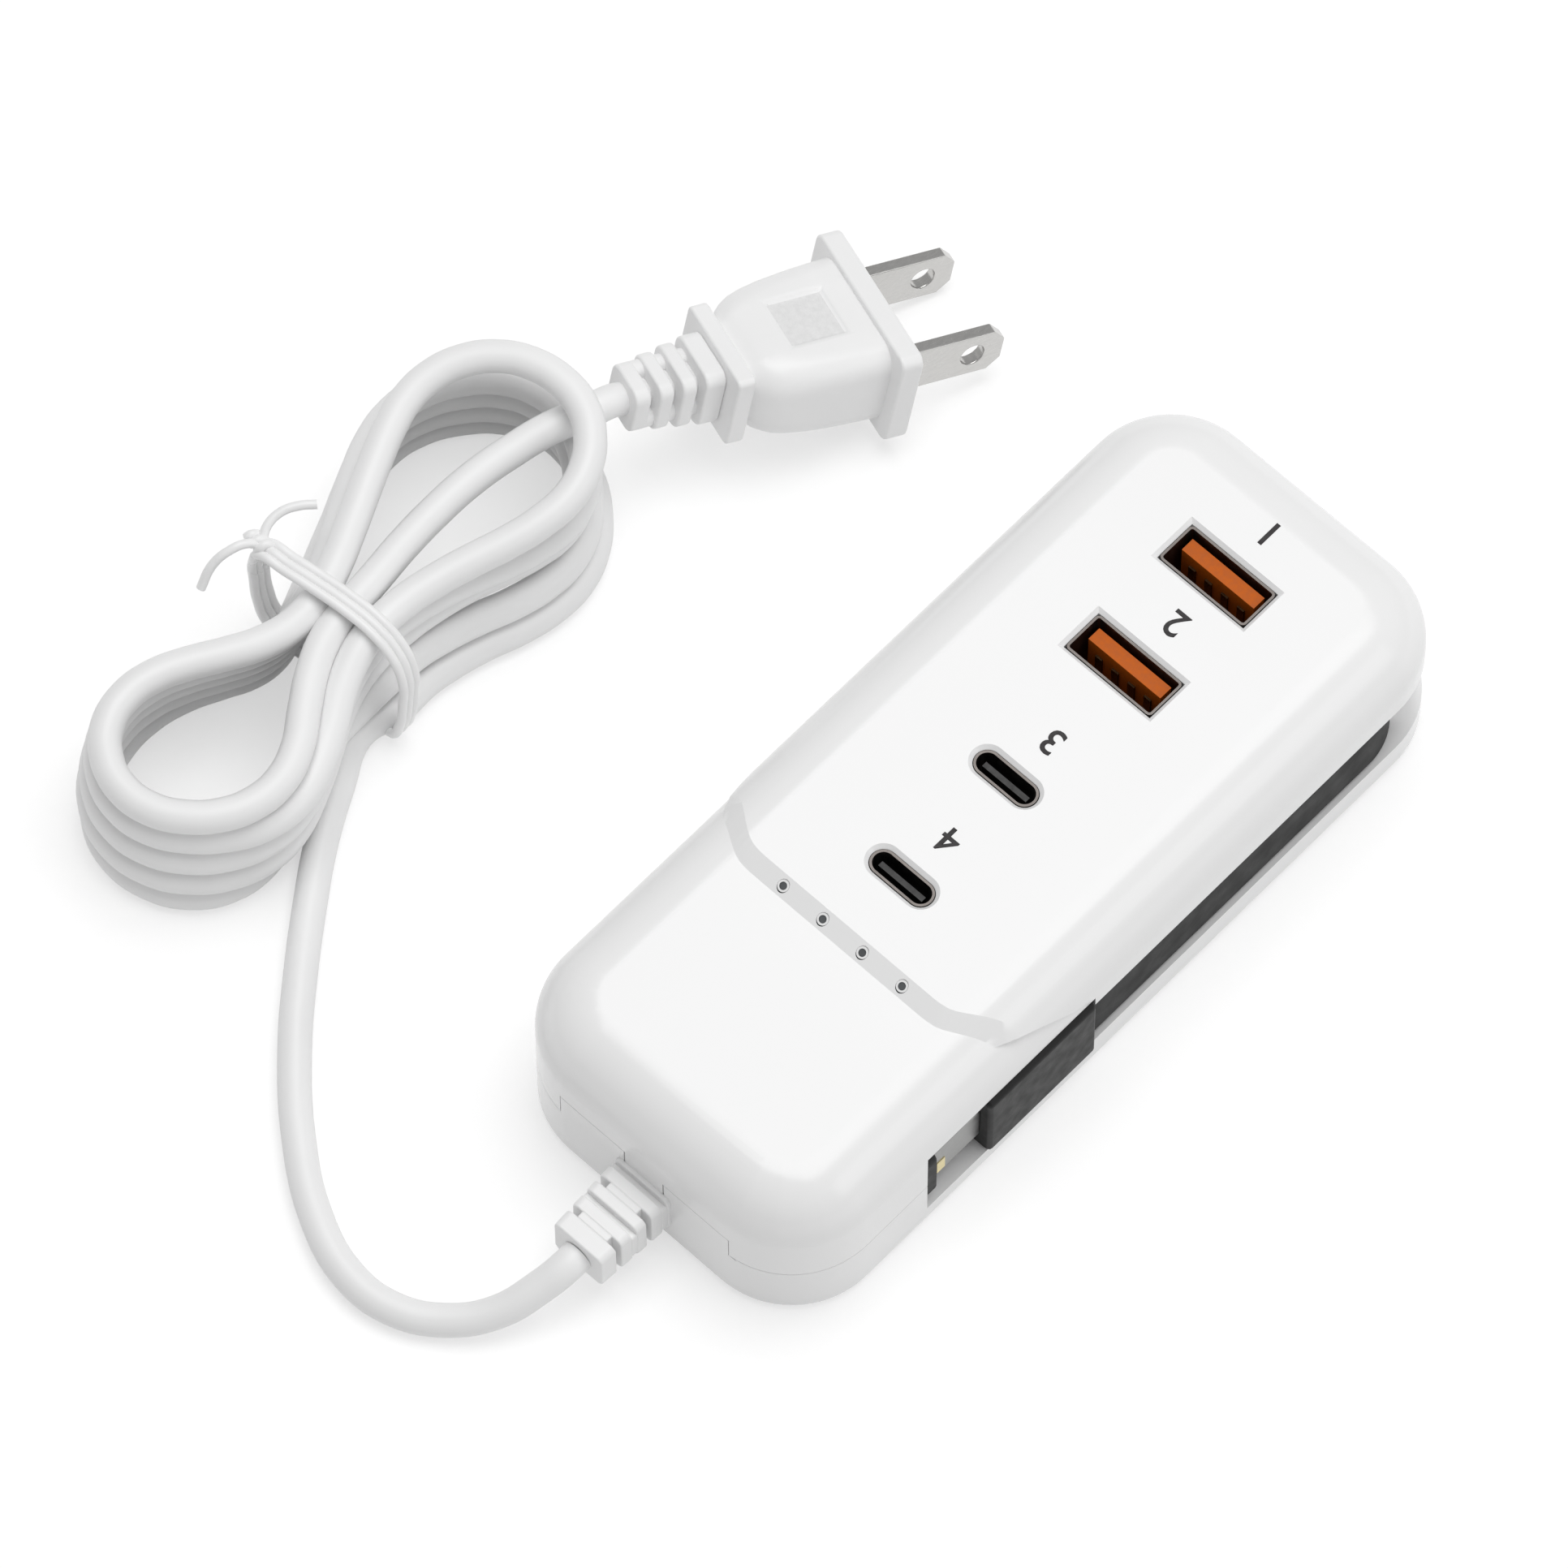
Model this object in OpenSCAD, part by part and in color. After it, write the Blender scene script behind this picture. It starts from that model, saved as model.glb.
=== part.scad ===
// Desktop USB charging strip: a two-shell moulded housing with four upright
// ports in a raised deck, a short cable docked in its side, and a mains lead
// wound into a tied hank. Millimetres, Z up. The origin is on the table under
// the middle of the housing, +Y runs along the row of ports to the far end and
// +X points to the docked cable.

/* [Housing] */
// Length of the housing along the row of ports
body_length = 112; // [108:1:130]
// Width of the housing
body_width = 47; // [46:0.5:56]
// Height of the raised deck above the table
body_height = 25.2; // [24.8:0.2:30]
// Thickness of the shell walls
wall = 2; // [1.6:0.1:2.2]
// Radius of the four upright corners
corner_radius = 11.6; // [11:0.2:13]
// Radius of the rounded edge round the top
top_fillet = 7.6; // [6:0.2:8.4]
// Radius of the rounded edge round the base
base_fillet = 1.8; // [1:0.1:2.4]
// Height of the joint between the two shells
parting_height = 9.6; // [9.2:0.1:10.4]
// Height of the lip that lines the shells up
lip_height = 1.2; // [0.8:0.1:1.6]
// Thickness of that lip
lip_thickness = 0.9; // [0.7:0.1:1.2]

/* [Deck] */
// Rise of the deck above the near end
step_rise = 1.3; // [0.8:0.1:1.8]
// Plan width of the sloping band in front of the deck
step_run = 2.2; // [1.6:0.1:3]
// Distance from the housing's near end to the deck's front edge
deck_front = 33.7; // [33:0.1:34.4]
// Plan radius of the deck's front corners
step_corner = 9; // [7:0.5:11]
// Diameter of each status light
light_d = 1.4; // [1:0.1:1.8]
// Distance between status lights
light_pitch = 6.1; // [5:0.1:7]
// Number of status lights
light_count = 4; // [2:1:4]

/* [Ports] */
// Distance from the middle of the housing to the far USB-A port
port_a_far = 39; // [38:0.5:41]
// Distance between the two USB-A ports
port_a_pitch = 15.7; // [15:0.1:17]
// Distance from the middle of the housing to the far USB-C port
port_c_far = 3.6; // [2:0.1:5]
// Distance between the two USB-C ports
port_c_pitch = 17.2; // [15:0.1:18]
// Depth of the port shells below the deck
port_recess = 0.4; // [0.2:0.1:0.8]
// Width of the bevel round each port
port_bevel = 0.5; // [0.3:0.1:0.7]

/* [Docked cable] */
// Height of the middle of the dock above the table
dock_height = 10.2; // [10:0.1:10.6]
// Height of the flat cable
cable_height = 8.6; // [7:0.2:9.4]
// Thickness of the flat cable
cable_thickness = 2; // [1.6:0.1:2.2]
// Depth of the cable's face below the side of the housing
cable_recess = 0.5; // [0.3:0.1:0.8]
// Radius that the cable turns through as it enters the housing
cable_turn = 8; // [7.5:0.1:8.5]
// Length of the plug's grip
grip_length = 19.2; // [17:0.2:21]
// Height of the plug's grip
grip_height = 12.2; // [11:0.2:12.8]
// Thickness of the plug's grip
grip_thickness = 5; // [4.4:0.1:5.2]
// How far the grip stands out of the housing's side
grip_proud = 0.6; // [0.4:0.1:1]
// Distance from the middle of the housing to the grip's far end
grip_end = 7; // [6:0.5:8]
// Length of the metal tip
tip_length = 7.2; // [6.4:0.2:7.6]
// Height of the metal tip
tip_height = 7; // [6:0.2:8.2]
// Thickness of the metal tip
tip_thickness = 1.8; // [1.4:0.1:2.2]

/* [Strain relief] */
// Height of the lead's middle where it leaves the housing
relief_height = 7.6; // [7.2:0.1:7.8]
// Length of the relief outside the housing
relief_length = 10.8; // [9.8:0.2:11.4]
// Width of the relief at the housing
relief_width = 8.4; // [7.6:0.2:9]
// Thickness of the relief at the housing
relief_thickness = 7.2; // [6.6:0.1:7.4]
// How much narrower the relief is at its tip
relief_taper = 0.9; // [0.4:0.1:1.4]

/* [Mains plug] */
// Width of the flange
flange_width = 22.4; // [20:0.2:24]
// Height of the flange
flange_height = 14.4; // [13:0.2:15]
// Thickness of the flange
flange_thickness = 2.8; // [2.2:0.1:3.4]
// Length of the body between guard plate and flange
plug_body_length = 13.6; // [12:0.2:16]
// Width of the guard plate
guard_width = 13.4; // [12:0.2:15]
// Height of the guard plate
guard_height = 10.6; // [9.4:0.2:11.4]
// Length of the plug's own strain relief
plug_relief_length = 12; // [10:0.5:14]
// Length of each blade in front of the flange
blade_length = 15.9; // [15.9:0.1:18]

/* [Hidden] */
$fn = 64;

// Overshoot of a cutter past the face that it cuts
over = 1;
// Running clearance between pieces that fit together
fit = 0.1;

// Standard sizes of the connectors and of the two-blade plug
usb_a_width = 13.1;
usb_a_depth = 5.7;
usb_a_height = 13.4;
usb_a_sheet = 0.3;
usb_a_tongue_thickness = 1.84;
usb_a_tongue_width = 11.1;
usb_a_tongue_drop = 0.9;
usb_a_contact_pitch = 2.5;
usb_c_width = 8.94;
usb_c_depth = 3.26;
usb_c_sheet = 0.3;
usb_c_tongue_thickness = 0.7;
usb_c_tongue_width = 6.7;
usb_c_tongue_drop = 0.9;
usb_block = 2.4;
blade_spacing = 12.7;
blade_width = 6.35;
blade_thickness = 1.5;
blade_hole_d = 3.1;
blade_hole_at = 4;
blade_root = 6;

// Board: its height is set by the port shells, which stand on it
board_thickness = 1.6;
board_top = body_height - port_recess - usb_a_height;
board_bottom = board_top - board_thickness;
board_right = 16;
board_left = body_width / 2 - wall - lip_thickness - 0.6;
board_corner = 6;
board_near = body_length / 2 - wall - lip_thickness - 3.6;
board_far = port_a_far + usb_a_depth / 2 + 1.15;
board_notch = [12, 3];

// Housing heights and insets
low_height = body_height - step_rise;
inner_corner = corner_radius - wall;
inner_fillet = top_fillet - wall;
side_x = body_width / 2;
end_y = body_length / 2;
step_edge = end_y - deck_front;

// Screws, their bosses under the board and their posts above it
shank_d = 2.6;
head_d = 4.8;
head_height = 1.8;
seat_z = 5;
thread_reach = 5.8;
boss_d = 8.4;
post_d = 5.6;
screw_places = [
    [-(side_x - 8.5), -(end_y - 10.5)],
    [12, -(end_y - 10.5)],
    [-(side_x - 8.5), end_y - 9.6],
    [12, port_a_far - 7]
];

function roof(y) = y > -step_edge ? body_height : low_height;

// Dock: a channel for the cable and a deeper pocket for grip and tip
dock_wall = 1.8;
cable_x = side_x - cable_recess - cable_thickness / 2;
channel_depth = cable_recess + cable_thickness + fit;
channel_half = cable_height / 2 + 0.4;
pocket_depth = grip_thickness - grip_proud + fit;
pocket_half = grip_height / 2 + 0.3;
grip_x = side_x + grip_proud - grip_thickness / 2;
grip_near = -grip_end - grip_length;
pocket_near = grip_near - tip_length - 1;
pocket_far = -grip_end + 0.3;
turn_y = end_y - corner_radius - cable_turn / 2;
anchor_length = 7;
anchor_thickness = 4.4;
anchor_lead = 3;

// Tab of the lower shell that traps the strain relief
tab_half = 13;
tab_top = 13.6;
neck_width = 6;
neck_height = 5.6;
relief_flange = 1.6;
relief_inside = 3;

// Mains lead: the points of its route, chosen by hand
cord_d = 4;
cord_sides = 10;
lead_route = [
    [-0.9, -72, 5.8], [-3, -76.8, 3.6], [-7, -81.2, 2.3], [-12.5, -84.2, 2], [-19, -84.6, 2],
    [-26.5, -82, 2], [-35, -76.2, 2], [-43.2, -68.4, 2], [-48.8, -61.8, 2]
];
tail_height = 17.8;

// Hank: five turns pinched at a waist, its length a little off the Y axis
hank_place = [-73.5, -29.5, 0];
hank_turn = 3;
hank_layers = 5;
hank_height = hank_layers * cord_d;
upper_radius = 12.6;
upper_reach = 25.2;
lower_radius = 13;
lower_reach = 23.6;
waist_half = 6.8;
// The turns lie within a band round each lobe, and the tail crosses the far opening
lobe_band = 6.2;
opening_start = 4.2;
tail_inner = [[0.9, 3.2], [5.2, 36]];
hank_blend = 0.05;
lead_in = [17.6, -25.6];
lead_mid = [5.5, -7.4];
lead_lift = cord_d / 2 + 0.1;

// Tie: three plastic-covered wires side by side, wrapped round the waist
tie_wire = 1.1;
tie_count = 3;
tie_thickness = 0.9;
tie_reach = 12;
tie_corner = 3.3;

// Mains plug: it rests on the flange's lower corner with its nose down
plug_tip = [-68.4, 12.2];
plug_yaw = -22;
plug_pitch = -15;
plug_roll = -9;
guard_thickness = 2.4;
guard_y = plug_relief_length;
shoulder_y = guard_y + guard_thickness;
flange_y = shoulder_y + plug_body_length;
face_y = flange_y + flange_thickness;
plug_rest = -(face_y * sin(plug_pitch)
    + (flange_width / 2 * sin(plug_roll) - flange_height / 2 * cos(plug_roll)) * cos(plug_pitch));

// Outline of a plan rectangle with round corners, from its middle
module round_plan(width, length, radius) {
    square([width - 2 * radius, length], center = true);
    square([width, length - 2 * radius], center = true);
    for (x = [-1, 1], y = [-1, 1])
        translate([x * (width / 2 - radius), y * (length / 2 - radius)]) circle(radius);
}

// Half section of a moulded edge: a wall whose foot and head are rounded
module edge_section(reach, height, head, foot) {
    square([reach - max(head, foot), height]);
    translate([0, foot]) square([reach, height - head - foot]);
    translate([0, height / 2]) square([reach - head, height / 2]);
    square([reach - foot, height / 2]);
    intersection() {
        translate([reach - head, height - head]) circle(head);
        translate([reach - head, height - head]) square(head);
    }
    intersection() {
        translate([reach - foot, foot]) circle(foot);
        translate([reach - foot, 0]) square(foot);
    }
}

// Closed body with upright corners and rounded upper and lower edges
module moulded_body(width, length, height, corner, head, foot) {
    for (i = [0:3])
        rotate([0, 0, 90 * i])
            translate([(i % 2 == 0 ? width : length) / 2 - corner,
                       (i % 2 == 0 ? length : width) / 2 - corner, 0])
                rotate_extrude(angle = 90) edge_section(corner, height, head, foot);
    for (i = [0:3]) {
        across = i % 2 == 0 ? width : length;
        along = i % 2 == 0 ? length : width;
        rotate([0, 0, 90 * i])
            translate([across / 2 - corner, along / 2 - corner, 0])
                rotate([90, 0, 0])
                    linear_extrude(along - 2 * corner) edge_section(corner, height, head, foot);
    }
    translate([-(width / 2 - corner), -(length / 2 - corner), 0])
        cube([width - 2 * corner, length - 2 * corner, height]);
}

// Everything over the raised deck: it slopes down in front and at its corners
module deck_zone(front, top, rise, run) {
    drop = rise + 2;
    spread = run * drop / rise;
    half = side_x - 1.5;
    for (x = [-1, 1])
        translate([x * (half - step_corner), -front + step_corner, top - drop])
            cylinder(h = drop, r1 = step_corner + spread, r2 = step_corner);
    translate([-(half - step_corner), 0, top])
        rotate([90, 0, 90])
            linear_extrude(2 * (half - step_corner))
                polygon([[-front, 0], [-front - spread, -drop], [0, -drop], [0, 0]]);
    translate([0, end_y + over, top])
        rotate([90, 0, 0])
            linear_extrude(end_y + over + front - step_corner)
                polygon([[-half, 0], [-half - spread, -drop], [half + spread, -drop], [half, 0]]);
    translate([-side_x - over, -front + step_corner, -over])
        cube([body_width + 2 * over, end_y + front, top - drop + 2 * over]);
    translate([-side_x - over, -front, -over])
        cube([body_width + 2 * over, end_y + front, top - drop]);
}

// Outside of the closed housing
module housing_outside() {
    moulded_body(body_width, body_length, low_height, corner_radius, top_fillet, base_fillet);
    intersection() {
        moulded_body(body_width, body_length, body_height, corner_radius, top_fillet, base_fillet);
        deck_zone(step_edge, body_height, step_rise, step_run);
    }
}

// Plan zone of the dock: the right side from a near end, round the far corner
module dock_plan(near, depth, far) {
    difference() {
        translate([0, near]) square([side_x + over, far - near]);
        round_plan(body_width - 2 * depth, body_length - 2 * depth, corner_radius - depth);
        translate([-over, end_y - corner_radius])
            square([side_x - corner_radius + 4 + over, corner_radius + 2 * over]);
    }
}

// Groove that takes the flat cable, open to the side and round the far corner
module cable_channel(grow) {
    translate([0, 0, dock_height - channel_half - grow])
        linear_extrude(2 * (channel_half + grow))
            dock_plan(pocket_far - over - grow, channel_depth + grow, end_y + over);
}

// Deeper pocket that takes the grip and the metal tip
module grip_pocket(grow) {
    translate([0, 0, dock_height - pocket_half - grow])
        linear_extrude(2 * (pocket_half + grow))
            dock_plan(pocket_near - grow, pocket_depth + grow, pocket_far + grow);
}

// Space inside the shells, with the dock's own walls left standing
module housing_inside() {
    difference() {
        union() {
            translate([0, 0, wall])
                intersection() {
                    moulded_body(body_width - 2 * wall, body_length - 2 * wall,
                        low_height - 2 * wall, inner_corner, inner_fillet, base_fillet);
                    translate([-side_x, -end_y, 0])
                        cube([body_width, end_y - step_edge + 2 * wall, body_height]);
                }
            translate([0, 0, wall])
                intersection() {
                    moulded_body(body_width - 2 * wall, body_length - 2 * wall,
                        body_height - 2 * wall, inner_corner, inner_fillet, base_fillet);
                    translate([-side_x, -step_edge + wall, 0])
                        cube([body_width, end_y + step_edge, body_height]);
                }
        }
        cable_channel(dock_wall);
        grip_pocket(dock_wall);
    }
}

// Path of the flat cable as a plan outline, thickened by a clearance
module cable_plan(grow) {
    half = cable_thickness / 2 + grow;
    translate([cable_x - half, -grip_end]) square([2 * half, turn_y + grip_end]);
    intersection() {
        translate([cable_x - cable_turn, turn_y])
            difference() {
                circle(cable_turn + half);
                circle(cable_turn - half);
            }
        translate([cable_x - cable_turn, turn_y]) square(cable_turn + 2 * half);
    }
    translate([cable_x - cable_turn - anchor_lead, turn_y + cable_turn - half])
        square([anchor_lead, 2 * half]);
}

// Shells joined, before they are split at the joint
module housing_shell() {
    difference() {
        housing_outside();
        housing_inside();
        cable_channel(0);
        grip_pocket(0);
        intersection() {
            translate([0, 0, dock_height - cable_height / 2 - fit])
                linear_extrude(cable_height + 2 * fit) cable_plan(fit);
            translate([0, turn_y, 0]) cube([body_width, body_length, body_height]);
        }
    }
}

// Zone of the lower shell's upright tab
module tab_zone(clear) {
    translate([-tab_half - clear, -end_y - over, 0])
        cube([2 * (tab_half + clear), wall + over + 2, tab_top + clear]);
}

// Slot for the strain relief's neck, open at the top of the tab
module neck_slot(clear) {
    bottom = relief_height - neck_height / 2 - clear;
    translate([-neck_width / 2 - clear, -end_y - over, bottom])
        cube([neck_width + 2 * clear, wall + over + 3, tab_top - bottom + over]);
}

// Port openings, with a narrow bevel at the deck
module usb_a_opening() {
    width = usb_a_width + 2 * fit;
    depth = usb_a_depth + 2 * fit;
    cube([width, depth, 3 * wall], center = true);
    intersection() {
        rotate([90, 0, 0])
            linear_extrude(2 * depth, center = true)
                polygon([[-width / 2, -port_bevel], [width / 2, -port_bevel],
                         [width / 2 + 2 * port_bevel, port_bevel],
                         [-width / 2 - 2 * port_bevel, port_bevel]]);
        rotate([90, 0, 90])
            linear_extrude(2 * width, center = true)
                polygon([[-depth / 2, -port_bevel], [depth / 2, -port_bevel],
                         [depth / 2 + 2 * port_bevel, port_bevel],
                         [-depth / 2 - 2 * port_bevel, port_bevel]]);
    }
}

module usb_c_opening() {
    radius = usb_c_depth / 2 + fit;
    half = (usb_c_width - usb_c_depth) / 2;
    translate([0, 0, -1.5 * wall])
        linear_extrude(3 * wall) {
            for (x = [-half, half]) translate([x, 0]) circle(radius);
            square([2 * half, 2 * radius], center = true);
        }
    for (x = [-half, half])
        translate([x, 0, -port_bevel])
            cylinder(h = 2 * port_bevel, r1 = radius, r2 = radius + 2 * port_bevel);
    rotate([90, 0, 90])
        linear_extrude(2 * half, center = true)
            polygon([[-radius, -port_bevel], [radius, -port_bevel],
                     [radius + 2 * port_bevel, port_bevel], [-radius - 2 * port_bevel, port_bevel]]);
}

module top_housing() {
    color("white")
    difference() {
        union() {
            difference() {
                intersection() {
                    housing_shell();
                    translate([-body_width, -body_length, parting_height])
                        cube([2 * body_width, 2 * body_length, body_height]);
                }
                tab_zone(fit);
            }
            translate([-neck_width / 2 + fit, -end_y, relief_height + neck_height / 2 + fit])
                cube([neck_width - 2 * fit, wall,
                      tab_top + 2 * fit - relief_height - neck_height / 2]);
            for (place = screw_places)
                translate([place[0], place[1], board_bottom])
                    cylinder(h = roof(place[1]) - wall / 2 - board_bottom, d = post_d);
        }
        for (place = screw_places)
            translate([place[0], place[1], board_bottom - over])
                cylinder(h = thread_reach + over, d = shank_d + fit);
        for (i = [0:1]) {
            translate([0, port_a_far - i * port_a_pitch, body_height]) usb_a_opening();
            translate([0, port_c_far - i * port_c_pitch, body_height]) usb_c_opening();
        }
        for (i = [0:light_count - 1])
            translate([light_x(i), light_y, low_height - wall - over])
                cylinder(h = 3 * wall, d = light_d + fit);
    }
}

module bottom_housing() {
    color("whitesmoke")
    difference() {
        union() {
            difference() {
                intersection() {
                    housing_shell();
                    union() {
                        translate([-body_width, -body_length, 0])
                            cube([2 * body_width, 2 * body_length, parting_height]);
                        tab_zone(0);
                    }
                }
                neck_slot(fit);
            }
            locating_lip();
            for (place = screw_places)
                translate([place[0], place[1], base_fillet / 2])
                    cylinder(h = board_bottom - base_fillet / 2, d = boss_d);
        }
        for (place = screw_places)
            translate([place[0], place[1], 0]) {
                translate([0, 0, -over]) cylinder(h = seat_z + over, d = head_d + 0.6);
                cylinder(h = board_bottom + over, d = shank_d + 2 * fit);
            }
    }
}

// Lip inside the left and far walls of the lower shell
module locating_lip() {
    difference() {
        union() {
            translate([0, 0, parting_height - lip_height])
                linear_extrude(lip_height) lip_plan(0);
            translate([0, 0, parting_height]) linear_extrude(lip_height) lip_plan(fit);
        }
        translate([tab_half - 2 * tab_half - over, -end_y, 0])
            cube([body_width, 2 * wall + 2, body_height]);
    }
}

module lip_plan(clear) {
    inset = wall + clear;
    thick = wall + lip_thickness;
    intersection() {
        difference() {
            round_plan(body_width - 2 * inset, body_length - 2 * inset, corner_radius - inset);
            round_plan(body_width - 2 * thick, body_length - 2 * thick, corner_radius - thick);
        }
        translate([-side_x, -end_y]) square([side_x, body_length]);
    }
}

module housing_screws() {
    color("silver")
    for (place = screw_places)
        translate([place[0], place[1], 0]) {
            difference() {
                translate([0, 0, seat_z - head_height]) cylinder(h = head_height, d = head_d);
                for (a = [0, 90])
                    translate([0, 0, seat_z - head_height])
                        rotate([0, 0, a]) cube([2.8, 0.7, 1.2], center = true);
            }
            translate([0, 0, seat_z]) cylinder(h = board_bottom + thread_reach - 0.6 - seat_z, d = shank_d);
        }
}

light_y = -step_edge - step_run / 2;
light_bar = 1.2;
led_height = 0.8;
function light_x(i) = (i - (light_count - 1) / 2) * light_pitch;

// Four light guides on one bar, which is pressed up under the sloping band
module light_pipe() {
    bar_z = low_height - wall - light_bar;
    color("gainsboro") {
        for (i = [0:light_count - 1])
            translate([light_x(i), light_y, board_top + led_height + 0.2])
                cylinder(h = low_height + step_rise / 2 - 0.1 - board_top - led_height - 0.2, d = light_d);
        translate([light_x(0) - light_d, light_y - light_d / 2 - 0.3, bar_z])
            cube([light_x(light_count - 1) - light_x(0) + 2 * light_d, light_d + 0.6, light_bar]);
    }
}

module status_leds() {
    color("ivory")
    for (i = [0:light_count - 1])
        translate([light_x(i) - 0.8, light_y - 0.4, board_top]) cube([1.6, 0.8, led_height]);
}

module main_board() {
    color("darkgreen")
    difference() {
        translate([(board_right - board_left) / 2, (board_far - board_near) / 2, board_bottom])
            linear_extrude(board_thickness)
                round_plan(board_right + board_left, board_far + board_near, board_corner);
        for (place = screw_places)
            translate([place[0], place[1], board_bottom - over])
                cylinder(h = board_thickness + 2 * over, d = post_d + 4 * fit);
        translate([-board_notch[0] / 2, -board_near - over, board_bottom - over])
            cube([board_notch[0], board_notch[1] + over, board_thickness + 2 * over]);
    }
}

// Upright USB-A receptacle: a folded steel shell round a tongue on a block
module usb_a_shell(y) {
    color("silver")
    translate([0, y, board_top])
        difference() {
            linear_extrude(usb_a_height) round_plan(usb_a_width, usb_a_depth, 0.6);
            translate([0, 0, -over])
                linear_extrude(usb_a_height + 2 * over)
                    round_plan(usb_a_width - 2 * usb_a_sheet, usb_a_depth - 2 * usb_a_sheet, 0.3);
        }
}

usb_a_tongue_y = usb_a_depth / 2 - usb_a_sheet - usb_a_tongue_thickness / 2 - 0.65;
module usb_a_tongue(y) {
    inner_w = usb_a_width - 2 * usb_a_sheet;
    inner_d = usb_a_depth - 2 * usb_a_sheet;
    color("chocolate")
    translate([0, y, board_top]) {
        linear_extrude(usb_block) round_plan(inner_w, inner_d, 0.3);
        translate([-usb_a_tongue_width / 2, usb_a_tongue_y - usb_a_tongue_thickness / 2, usb_block])
            cube([usb_a_tongue_width, usb_a_tongue_thickness,
                  usb_a_height - usb_block - usb_a_tongue_drop]);
    }
}

// Four contact blades on the near face of the tongue
module usb_a_contacts(y) {
    thickness = 0.25;
    color("gold")
    translate([0, y + usb_a_tongue_y - usb_a_tongue_thickness / 2, board_top + usb_block])
        for (i = [0:3])
            translate([(i - 1.5) * usb_a_contact_pitch - 0.5, -thickness, 0])
                cube([1, thickness, usb_a_height - usb_block - usb_a_tongue_drop - 2.2]);
}

module obround(width, depth) {
    for (x = [-1, 1]) translate([x * (width - depth) / 2, 0]) circle(depth / 2);
    square([width - depth, depth], center = true);
}

// Upright USB-C receptacle: a drawn oval shell round a thin tongue
module usb_c_shell(y) {
    color("dimgray")
    translate([0, y, board_top])
        difference() {
            linear_extrude(usb_a_height) obround(usb_c_width, usb_c_depth);
            translate([0, 0, -over])
                linear_extrude(usb_a_height + 2 * over)
                    obround(usb_c_width - 2 * usb_c_sheet, usb_c_depth - 2 * usb_c_sheet);
        }
}

module usb_c_tongue(y) {
    color("black")
    translate([0, y, board_top]) {
        linear_extrude(usb_block + 4)
            obround(usb_c_width - 2 * usb_c_sheet, usb_c_depth - 2 * usb_c_sheet);
        translate([-usb_c_tongue_width / 2, -usb_c_tongue_thickness / 2, usb_block + 4])
            cube([usb_c_tongue_width, usb_c_tongue_thickness,
                  usb_a_height - usb_block - 4 - usb_c_tongue_drop]);
    }
}

// Parts on the board keep their distance from its ends, from the ports and from the roof
base_height = 1.1;
roof_gap = 0.6;
shoulder_drop = 1.7;
tall_part = low_height - wall - roof_gap - shoulder_drop - board_top;
part_gap = 0.9;

// Transformer: a ferrite frame with two windows round a wound middle leg
core_place = [-1.8, -(step_edge + 9.1)];
core_size = [17, 8, low_height - wall - roof_gap - board_top - base_height];
core_leg = 5;
core_yoke = 1.9;
core_side = 2;
winding_overhang = 2;

module transformer_core() {
    color("dimgray")
    translate([core_place[0], core_place[1], board_top + base_height])
        difference() {
            translate([-core_size[0] / 2, -core_size[1] / 2, 0]) cube(core_size);
            for (x = [-1, 1])
                translate([x * (core_leg / 2 + (core_size[0] / 2 - core_side - core_leg / 2) / 2),
                           0, core_size[2] / 2])
                    cube([core_size[0] / 2 - core_side - core_leg / 2, core_size[1] + 2 * over,
                          core_size[2] - 2 * core_yoke], center = true);
        }
}

module transformer_winding() {
    height = core_size[2] - 2 * core_yoke;
    color("goldenrod")
    translate([core_place[0], core_place[1], board_top + base_height + core_yoke])
        difference() {
            linear_extrude(height)
                round_plan(core_size[0] - 2 * core_side, core_size[1] + 2 * winding_overhang, 1.8);
            translate([-core_leg / 2, -core_size[1] / 2, -over])
                cube([core_leg, core_size[1], height + 2 * over]);
        }
}

module transformer_base() {
    color("black")
    translate([core_place[0] - core_size[0] / 2, core_place[1] - core_size[1] / 2 - 1.4, board_top])
        cube([core_size[0], core_size[1] + 2.8, base_height]);
}

// Electrolytic can with a rolled groove above its foot
module can(diameter, height) {
    rotate_extrude() {
        square([diameter / 2 - 0.4, height]);
        square([diameter / 2, 1.2]);
        translate([0, 1.9]) square([diameter / 2, height - 1.9]);
    }
}

bulk_d = 7.6;
bulk_pitch = 9;
bulk_near = board_near - 13.5;
module bulk_capacitors() {
    color("midnightblue")
    for (i = [0:1])
        translate([-board_left + part_gap + bulk_d / 2, i * bulk_pitch - bulk_near, board_top])
            can(bulk_d, tall_part);
}

output_d = 6.3;
output_pitch = 8.5;
module output_capacitors() {
    color("darkslateblue")
    for (i = [1:3])
        translate([-board_left + 2 * part_gap + output_d / 2, port_c_far + i * output_pitch + part_gap,
                   board_top])
            can(output_d, tall_part);
}

choke_flange = 3.9;
choke_core = 2.9;
choke_plate = 1.1;
module line_choke() {
    color("peru")
    translate([board_right - part_gap / 2 - choke_flange, core_place[1] - 2.2, board_top])
        rotate_extrude() {
            square([choke_flange, choke_plate]);
            square([choke_core, tall_part]);
            translate([0, tall_part - choke_plate]) square([choke_flange, choke_plate]);
        }
}

ring_radius = 2.4;
ring_wire = 1.7;
module output_choke() {
    color("olive")
    translate([board_right - part_gap / 2 - ring_radius - ring_wire,
               port_a_far - port_a_pitch - usb_a_depth / 2 - part_gap - ring_wire, board_top + ring_wire])
        rotate_extrude() translate([ring_radius, 0]) circle(ring_wire);
}

bridge_size = [7.4, 6, 2.6];
module bridge_rectifier() {
    color("black")
    translate([1.2, board_notch[1] + 3.2 - board_near, board_top]) cube(bridge_size);
}

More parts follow.
